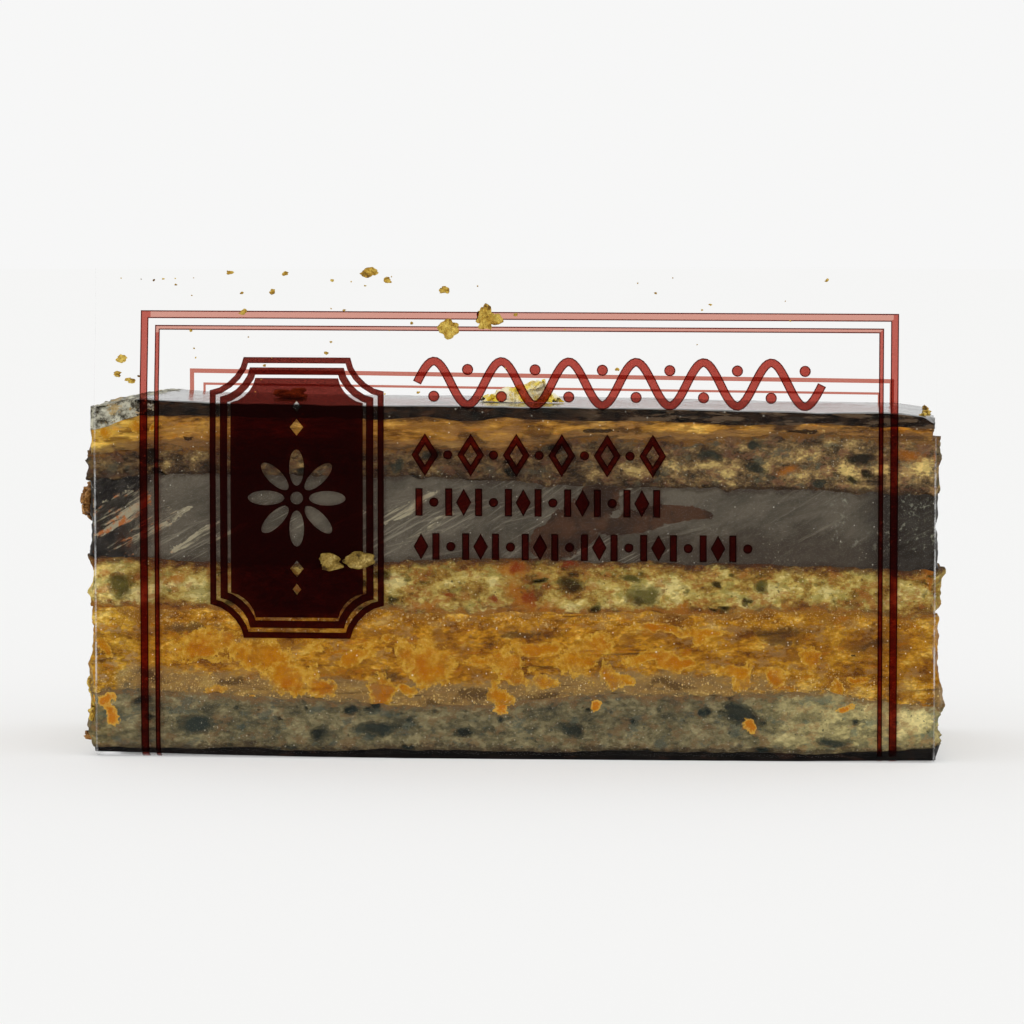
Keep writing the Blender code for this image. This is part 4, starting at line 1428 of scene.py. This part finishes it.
def paler_inks(piece):
    """Gives paler inks to the frame's top, upper part and back wall; on the top rule it is a painted
    highlight.
    """
    top_ink = len(piece.data.materials)
    for ink in PALER_INKS:
        piece.data.materials.append(bpy.data.materials[ink])
    top = (FILM_FRONT_HEIGHT - FRAME_MARGIN - FRAME_LINE - FRAME_GAP - FRAME_INNER_LINE) * MM
    middle = FILM_CENTRE_X + (FRAME_LEFT - FRAME_RIGHT) / 2
    between = (FILM_WIDTH - FRAME_LEFT - FRAME_RIGHT) / 2 - FRAME_LINE
    for face in piece.data.polygons:
        x, y, z = face.center
        if y > 0:
            face.material_index = top_ink + 1
        elif z > top and abs(x / MM - middle) < between and face.material_index == 0:
            face.material_index = top_ink
        elif z > UPPER_INK_FROM * MM and face.material_index == 0:
            face.material_index = top_ink + 2


def shift_back_frame(shape):
    """Moves the part of the flat frame that goes up the back wall, and makes its rules thinner."""
    flat = read_points(shape) / MM
    share = smooth_step(SHEET_LENGTH / 2 - 5, SHEET_LENGTH / 2 + 5, -flat[:, 1])
    middle = (FRAME_LEFT - FRAME_RIGHT) / 2
    half_width = (FILM_WIDTH - FRAME_LEFT - FRAME_RIGHT) / 2
    from_side = half_width - np.abs(flat[:, 0] - middle)
    from_end = flat[:, 1] + SHEET_LENGTH - FRAME_MARGIN
    moved = flat.copy()
    thinner = from_side - np.interp(from_side, FRAME_PLACES, BACK_FRAME_PLACES)
    moved[:, 0] += np.where(from_side < 3, thinner, 0) * np.sign(flat[:, 0] - middle) + BACK_FRAME_RIGHT
    thinner = from_end - np.interp(from_end, FRAME_PLACES, BACK_FRAME_PLACES)
    moved[:, 1] -= np.where(from_end < 3, thinner, 0) + BACK_FRAME_UP
    place_points(shape, (flat + (moved - flat) * share[:, None]) * MM)


def frame_lines():
    """Two thin rules that run round the whole sheet: down the front, under the slice, up the back."""
    lines = []
    for margin, line in ((0.0, FRAME_LINE), (FRAME_LINE + FRAME_GAP, FRAME_INNER_LINE)):
        width = FILM_WIDTH - FRAME_LEFT - FRAME_RIGHT - 2 * margin
        length = SHEET_LENGTH - 2 * (FRAME_MARGIN + margin)
        middle = (FRAME_LEFT - FRAME_RIGHT) / 2
        lines.append(cut_hole(flat_shape("plane", middle, SHEET_LENGTH / 2, width, length), line))
    return join_pieces(lines)


def cut_corner_panel(inset, corner):
    sizes = (PLAQUE_WIDTH - 2 * inset, PLAQUE_HEIGHT - 2 * inset)
    panel = flat_shape("plane", PLAQUE_ACROSS, PLAQUE_DOWN, *sizes)
    bpy.ops.object.mode_set(mode="EDIT")
    bpy.ops.mesh.select_all(action="SELECT")
    bpy.ops.mesh.bevel(offset=corner * MM, segments=5, profile=0.12, affect="VERTICES")
    bpy.ops.object.mode_set(mode="OBJECT")
    return panel


def cut_rosette(panel):
    """Cuts a rosette of petals and a few small lozenges out of a flat panel."""
    cutters = []
    for number in range(PETALS):
        turn = 2 * math.pi * number / PETALS
        petal = flat_shape("oval", 0.0, 0.0, PETAL_WIDTH, PETAL_LENGTH, 20)
        flat = read_points(petal) / MM + (0.0, PETAL_PLACE, 0.0)
        turned = np.stack(
            (
                flat[:, 0] * math.cos(turn) - flat[:, 1] * math.sin(turn),
                flat[:, 0] * math.sin(turn) + flat[:, 1] * math.cos(turn),
                flat[:, 2],
            ),
            axis=1,
        )
        place_points(petal, (turned + (PLAQUE_ACROSS, -PLAQUE_DOWN, 0.0)) * MM)
        cutters.append(petal)
    cutters.append(flat_shape("oval", PLAQUE_ACROSS, PLAQUE_DOWN, HEART_WIDTH, HEART_WIDTH))
    for side in (-1, 1):
        for away, size in PLAQUE_LOZENGES:
            down = PLAQUE_DOWN + side * away
            cutters.append(flat_shape("lozenge", PLAQUE_ACROSS, down, size * 0.8, size))
    cutter = join_pieces(cutters)
    for piece in (cutter, panel):
        apply_modifier(piece, "SOLIDIFY", thickness=0.4 * MM, offset=0.0)
    apply_modifier(panel, "BOOLEAN", operation="DIFFERENCE", solver="EXACT", object=cutter)
    bpy.data.objects.remove(cutter)
    bpy.ops.object.mode_set(mode="EDIT")
    edit_select(panel, "faces", lambda face: face.normal.z < 0.5)
    bpy.ops.mesh.delete(type="FACE")
    bpy.ops.object.mode_set(mode="OBJECT")
    place_points(panel, read_points(panel) * (1, 1, 0))


def plaque():
    """A tall panel with hollowed corners: a rule, a band within it, and a field with a rosette."""
    inset = PLAQUE_RULE + PLAQUE_GAP
    insets = (0.0, inset, inset + PLAQUE_BAND + PLAQUE_LINE_GAP)
    panels = [cut_corner_panel(*sizes) for sizes in zip(insets, PLAQUE_CORNERS)]
    rule = cut_hole(panels[0], PLAQUE_RULE)
    band = cut_hole(panels[1], PLAQUE_BAND)
    middle = panels[2]
    cut_rosette(middle)
    return join_pieces([rule, band, middle])


def wave_rule():
    """A running wave with a dot in each bend."""
    left, right, down, rise, line = WAVE
    start_piece()
    bpy.ops.mesh.primitive_grid_add(x_subdivisions=150, y_subdivisions=1, size=1)
    band = bpy.context.object
    flat = read_points(band)
    phase = (flat[:, 0] + 0.5) * 2 * math.pi * WAVE_TURNS
    slope = rise * np.cos(phase) * 2 * math.pi * WAVE_TURNS / (right - left)
    lean = np.arctan(slope)
    across = left + (flat[:, 0] + 0.5) * (right - left) - flat[:, 1] * line * np.sin(lean)
    height = rise * np.sin(phase) + flat[:, 1] * line * np.cos(lean)
    place_points(band, np.stack((across, height - down, np.zeros(len(flat))), axis=1) * MM)
    shapes = [band]
    length = (right - left) / WAVE_TURNS
    for number in range(2 * WAVE_TURNS):
        side = 1 if number % 2 else -1
        place = left + length * (number + 0.5) / 2
        shapes.append(flat_shape("oval", place, down - side * rise * 0.62, WAVE_DOT, WAVE_DOT, 16))
    return join_pieces(shapes)


def motif_rows():
    """Rows of small lozenges, bars and dots under the wave."""
    shapes = []
    for left, right, down, height, kinds, pitch in MOTIF_ROWS:
        count = int((right - left) / pitch) + 1
        for number in range(count):
            kind = kinds[number % len(kinds)]
            place = left + pitch * number
            if kind == "ring":
                ring = flat_shape("lozenge", place, down, height * RING_SHARE, height)
                shapes.append(cut_hole(ring, RING_LINE))
            elif kind == "lozenge":
                shapes.append(flat_shape("lozenge", place, down, height * LOZENGE_SHARE, height))
            elif kind == "bar":
                shapes.append(flat_shape("plane", place, down, BAR_WIDTH, height))
            else:
                shapes.append(flat_shape("oval", place, down, DOT_WIDTH, DOT_WIDTH, 14))
    return join_pieces(shapes)


# The gold leaf and the crumbs


def make_gold_leaf(settings):
    start_piece()
    bpy.ops.mesh.primitive_grid_add(x_subdivisions=72, y_subdivisions=40, size=1)
    leaf = bpy.context.object
    flat = read_points(leaf)
    along, across = flat[:, 0] + 0.5, flat[:, 1] + 0.5
    points = np.stack((along * LEAF_LENGTH, across * LEAF_DEPTH, np.zeros(len(flat))), axis=1)
    folds = 1 - 1.5 * np.abs(ripple(points, 2.0, 31, 2))
    creases = 1 - 1.6 * np.abs(ripple(points, 0.9, 32, 3))
    rise = np.interp(along, LEAF_PLACES, LEAF_HEIGHTS)
    arch = np.sin(np.pi * np.clip(across, 0.0, 1.0)) ** 0.55
    height = rise * arch * (0.62 + 0.38 * folds) + 0.42 * creases * arch
    height = np.maximum(height, 0.03)
    x = LEAF_CENTRE[0] + (along - 0.5) * LEAF_LENGTH + 0.65 * ripple(points, 1.3, 33, 3)
    y = LEAF_CENTRE[1] + (across - 0.5) * LEAF_DEPTH * (0.75 + 0.35 * np.sin(along * 5.0))
    y += 0.55 * ripple(points, 1.2, 34, 3)
    z = joint_height("icing", x, y) + LEAF_GAP + height
    place_points(leaf, np.stack((x, y, z), axis=1) * MM)
    apply_modifier(leaf, "SOLIDIFY", thickness=LEAF_THICKNESS * MM, offset=1.0)
    leaf.data.materials.append(gold_material(settings))
    finish_piece(leaf, "gold_leaf_crumple", "gold_leaf", "gold_leaf", smooth_angle=22)


def lump(place, sizes, seed, detail, flat_side=None, wear=0.55):
    """One crumb: a ball worn into a lump, and pressed flat on the side where it sticks."""
    start_piece()
    bpy.ops.mesh.primitive_ico_sphere_add(subdivisions=detail, radius=1)
    made = bpy.context.object
    points = read_points(made)
    worn = 1 + wear * ripple(points + seed * 3.7, 0.9, 300 + seed % 7, 3)
    points *= np.maximum(worn, 0.35)[:, None] * sizes
    points[:, 0] += 0.35 * sizes[0] * ripple(points / sizes + seed, 0.8, 320 + seed % 5, 2)
    if flat_side is not None:
        points[:, 1] = np.minimum(points[:, 1], flat_side)
    place_points(made, (points + place) * MM)
    return made


def loose_lumps(spots, seed, detail):
    """Lumps at the left end, each from its middle and its half sizes."""
    made = []
    for number, (x, y, z, *sizes) in enumerate(spots):
        made.append(lump(np.array((x, y, z + RAISE)), np.array(sizes), seed + number, detail))
    return made


def stuck_lump(x, z, half_width, half_height, seed, detail, wear=0.55):
    """A crumb on the outer face of the film's front wall."""
    down = np.interp(-z - RAISE, -SHEET_PATH[:WALL_POINTS, 1], SHEET_LENGTHS[:WALL_POINTS])
    face = wrap(np.array([x - FILM_CENTRE_X]), np.array([down]), FILM_THICKNESS / 2)[0]
    depth = 0.7 * min(half_width, half_height)
    sizes = np.array((half_width, depth, half_height))
    face[1] -= 0.45 * depth + 0.04
    return lump(face, sizes, seed, detail, 0.45 * depth, wear)


def finish_crumbs(pieces, name, slot, material):
    """Makes one piece of some crumbs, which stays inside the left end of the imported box."""
    crumbs = join_pieces(pieces)
    points = read_points(crumbs)
    points[:, 0] = np.maximum(points[:, 0], CAD_BOX[0][0] + CRUMB_MARGIN * MM)
    place_points(crumbs, points)
    crumbs.data.materials.append(material)
    finish_piece(crumbs, name, slot, smooth_angle=70)


def make_crumbs(settings):
    brown = [stuck_lump(*spot, number, 4) for number, spot in enumerate(FILM_CRUMBS)]
    chance = np.random.default_rng(12)
    for number in range(FILM_SPECKS):
        x = chance.uniform(*(SPECKS_X if number % 3 else LEFT_SPECKS_X))
        z = SPECKS_LOW + SPECKS_SPAN * chance.uniform(0, 1) ** 0.7
        size = 0.06 + 0.13 * chance.uniform(0, 1) ** 3
        brown.append(stuck_lump(x, z, size * 1.2, size, number, 2))
    brown += loose_lumps(END_CREAM, 90, 4)
    tones = (*settings_ramp(settings, "crumb"), paint(*CRUMB_BRIGHT))
    brown_crumb = crumb_material("film_crumb", tones)
    finish_crumbs(brown, "film_crumbs", "sponge_top", brown_crumb)
    pale = [stuck_lump(*spot, 40 + number, 4, 0.16) for number, spot in enumerate(PALE_CRUMBS)]
    pale_crumb = crumb_material("pale_crumb", [paint(*tone) for tone in PALE_CRUMB_TONES])
    finish_crumbs(pale, "pale_film_crumbs", "sponge_middle", pale_crumb)
    chunks = loose_lumps(CHUNKS, 60, 5)
    loose_sponge = crumb_material("loose_sponge", [paint(*tone) for tone in CHUNK_TONES])
    finish_crumbs(chunks, "loose_sponge_crumb", "sponge_middle", loose_sponge)
    fallen = []
    for number, (x, y, *sizes) in enumerate(ICING_CRUMBS):
        top = joint_height("icing", np.array([x]), np.array([y]))[0]
        place = np.array((x, y, top + 0.6 * sizes[2]))
        fallen.append(lump(place, np.array(sizes), 80 + number, 4))
    finish_crumbs(fallen, "icing_crumbs", "sponge_top", brown_crumb)


# What a user would change


def colour_property(name, description, colour):
    return bpy.props.FloatVectorProperty(
        name=name, description=description, subtype="COLOR", size=4, min=0, max=1, default=colour
    )


def settings_ramp(settings, name):
    return tuple(getattr(settings, f"{name}_{shade}") for shade in ("dark", "middle", "pale"))


class OperaCakeColours(bpy.types.PropertyGroup):
    """Main colours of the cake"""

    crumb_dark: colour_property("Crumbs, dark", "Browned side", paint(112, 80, 28))
    crumb_middle: colour_property("Crumbs", "Crumb", paint(180, 140, 50))
    crumb_pale: colour_property("Crumbs, pale", "Torn side", paint(212, 180, 82))
    gold: colour_property("Gold leaf", "Metal", paint(240, 212, 72))


class OperaCakeFilm(bpy.types.PropertyGroup):
    """The film and its print"""

    ink_tint: colour_property("Ink tint", "Light that passes the ink", (0.46, 0.075, 0.055, 1))
    ink_body: colour_property("Ink body", "Light that the ink sends back", (0.10, 0.012, 0.010, 1))
    surface_step: bpy.props.FloatProperty(
        name="Surface detail",
        description="Distance between the points of the cut faces",
        subtype="DISTANCE",
        unit="LENGTH",
        default=0.25 * MM,
        min=0.15 * MM,
        max=2 * MM,
    )


class OperaCakeStage(bpy.types.PropertyGroup):
    """The camera, the light and the table"""

    lens: bpy.props.FloatProperty(
        name="Lens", description="Focal length", subtype="DISTANCE_CAMERA", default=144.26
    )
    camera_turn: bpy.props.FloatProperty(
        name="Turn",
        description="Camera's turn round the slice",
        subtype="ANGLE",
        default=math.radians(3.777),
    )
    camera_tilt: bpy.props.FloatProperty(
        name="Tilt",
        description="How far the camera looks down",
        subtype="ANGLE",
        default=math.radians(3.577),
    )
    camera_place: bpy.props.FloatVectorProperty(
        name="Place",
        description="Where the camera stands",
        subtype="TRANSLATION",
        unit="LENGTH",
        default=(27.57 * MM, -429.11 * MM, 51.15 * MM),
    )
    daylight: bpy.props.FloatProperty(
        name="Daylight", description="Brightness of the white surroundings", default=0.93, min=0
    )
    floor_shade: bpy.props.FloatProperty(
        name="Table", description="Share of light that the table sends back", default=0.56, max=1
    )
    floor_glow: bpy.props.FloatProperty(
        name="Table glow", description="Light that the table gives of its own", default=0.40, min=0
    )


# The pieces


def build_layer(name, finishes):
    """Models one layer. A second finish goes on its top."""
    step = bpy.context.scene.opera_cake_film.surface_step / MM
    layer = make_layer(name, step, ICING_RINGS if name == "chocolate_icing" else HIDDEN_RINGS)
    for finish in finishes:
        layer.data.materials.append(finish)
    if len(finishes) > 1:
        bpy.ops.object.mode_set(mode="EDIT")
        edit_select(layer, "faces", lambda face: face.normal.z > 0.55)
        layer.active_material_index = 1
        bpy.ops.object.material_slot_assign()
        bpy.ops.object.mode_set(mode="OBJECT")
    finish_piece(layer, name + "_cut", name, name, smooth_angle=75)


class OPERA_OT_stage(bpy.types.Operator):
    """Adds the pale table, the white surroundings and the camera"""

    bl_idname = "opera.stage"
    bl_label = "Stage"

    def execute(self, context):
        settings = context.scene.opera_cake_stage
        scene = context.scene
        scene.view_settings.view_transform = "Standard"
        scene.view_settings.look = "None"
        world = bpy.data.worlds.new("white_surroundings")
        world.use_nodes = True
        background = world.node_tree.nodes["Background"]
        light = settings.daylight
        background.inputs["Color"].default_value = (light, light, light * 0.997, 1)
        scene.world = world
        start_piece()
        bpy.ops.mesh.primitive_plane_add(size=FLOOR_SIZE)
        floor = context.object
        floor.name = "studio_floor"
        floor.data.materials.append(floor_material(settings.floor_shade, settings.floor_glow))
        floor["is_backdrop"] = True
        camera_data = bpy.data.cameras.new("camera")
        camera = bpy.data.objects.new("camera", camera_data)
        scene.collection.objects.link(camera)
        camera_data.lens = settings.lens
        camera_data.sensor_width = SENSOR_WIDTH
        camera_data.clip_start = NEAR_CLIP
        camera.location = settings.camera_place
        camera.rotation_euler = (math.pi / 2 - settings.camera_tilt, 0.0, settings.camera_turn)
        scene.camera = camera
        return {"FINISHED"}


class OPERA_OT_sponges(bpy.types.Operator):
    """Models the three sheets of soaked almond sponge"""

    bl_idname = "opera.sponges"
    bl_label = "Sponges"

    def execute(self, context):
        for look in looks(SPONGES):
            build_layer(look["name"], [sponge_material(look)])
        return {"FINISHED"}


class OPERA_OT_creams(bpy.types.Operator):
    """Models the two layers of coffee butter cream"""

    bl_idname = "opera.creams"
    bl_label = "Coffee creams"

    def execute(self, context):
        for look in looks(CREAMS):
            build_layer(look["name"], [cream_material(look)])
        return {"FINISHED"}


class OPERA_OT_chocolate(bpy.types.Operator):
    """Models the chocolate base, the ganache and the icing"""

    bl_idname = "opera.chocolate"
    bl_label = "Chocolate"

    def execute(self, context):
        build_layer("chocolate_base", [base_material()])
        build_layer("ganache", [ganache_material()])
        finishes = [icing_material("icing_cut_side", False), icing_material("icing_gloss", True)]
        build_layer("chocolate_icing", finishes)
        return {"FINISHED"}


class OPERA_OT_gold_leaf(bpy.types.Operator):
    """Models the crumpled gold leaf on the icing"""

    bl_idname = "opera.gold_leaf"
    bl_label = "Gold leaf"

    def execute(self, context):
        make_gold_leaf(context.scene.opera_cake_colours)
        return {"FINISHED"}


class OPERA_OT_film(bpy.types.Operator):
    """Models the folded sheet of clear film"""

    bl_idname = "opera.film"
    bl_label = "Film"

    def execute(self, context):
        film = make_film()
        finish_piece(film, "clear_film_sheet", "film_wrap", "film_wrap", smooth_angle=60)
        return {"FINISHED"}


class OPERA_OT_print(bpy.types.Operator):
    """Prints the frame lines, the plaque and the rows of motifs on the film"""

    bl_idname = "opera.print"
    bl_label = "Print"

    def execute(self, context):
        settings = context.scene.opera_cake_film
        tint, body = tuple(settings.ink_tint), tuple(settings.ink_body)
        ink_material("print_ink", tint, body)
        ink_material("plaque_ink", dimmed(tint, 0.36), body)
        ink_material("print_ink_edge", dimmed(tint, 0.30), dimmed(body, 0.5))
        for name, more in PALER_INKS.items():
            ink_material(name, (*(c + extra for c, extra in zip(tint[:3], more)), 1.0), body)
        print_shape(frame_lines(), "print_frame")
        paler_inks(bpy.data.objects["print_frame"])
        print_shape(plaque(), "print_plaque", "plaque_ink")
        print_shape(wave_rule(), "print_wave")
        print_shape(motif_rows(), "print_motifs")
        return {"FINISHED"}


class OPERA_OT_crumbs(bpy.types.Operator):
    """Scatters crumbs on the film and the icing, and sets loose lumps at the slice's left end"""

    bl_idname = "opera.crumbs"
    bl_label = "Crumbs"

    def execute(self, context):
        make_crumbs(context.scene.opera_cake_colours)
        return {"FINISHED"}


OPERATORS = (
    OPERA_OT_stage,
    OPERA_OT_sponges,
    OPERA_OT_creams,
    OPERA_OT_chocolate,
    OPERA_OT_gold_leaf,
    OPERA_OT_film,
    OPERA_OT_print,
    OPERA_OT_crumbs,
)


class OPERA_PT_panel(bpy.types.Panel):
    """Lists the pieces of the slice and the settings they are made from"""

    bl_idname = "OPERA_PT_panel"
    bl_label = "Opera Cake"
    bl_space_type = "VIEW_3D"
    bl_region_type = "UI"
    bl_category = "Opera Cake"

    def draw(self, context):
        layout = self.layout
        for operator in OPERATORS:
            layout.operator(operator.bl_idname)
        for group in ("opera_cake_colours", "opera_cake_film", "opera_cake_stage"):
            settings = getattr(context.scene, group)
            for name in settings.__annotations__:
                layout.prop(settings, name)


GROUPS = {
    "opera_cake_colours": OperaCakeColours,
    "opera_cake_film": OperaCakeFilm,
    "opera_cake_stage": OperaCakeStage,
}


def register():
    for made in (*GROUPS.values(), *OPERATORS, OPERA_PT_panel):
        bpy.utils.register_class(made)
    for name, group in GROUPS.items():
        setattr(bpy.types.Scene, name, bpy.props.PointerProperty(type=group))


def unregister():
    for name in GROUPS:
        delattr(bpy.types.Scene, name)
    for made in (OPERA_PT_panel, *reversed(OPERATORS), *reversed(GROUPS.values())):
        bpy.utils.unregister_class(made)


def write_sizes():
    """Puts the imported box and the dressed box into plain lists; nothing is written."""
    boxes = {"cad": CAD_BOX, "visual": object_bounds()}
    plain = {name: [list(corner) for corner in box] for name, box in boxes.items()}


def main():
    register()
    bpy.ops.opera.stage()
    bpy.ops.opera.sponges()
    bpy.ops.opera.creams()
    bpy.ops.opera.chocolate()
    bpy.ops.opera.gold_leaf()
    bpy.ops.opera.film()
    bpy.ops.opera.print()
    bpy.ops.opera.crumbs()
    write_sizes()


if __name__ == "__main__":
    main()
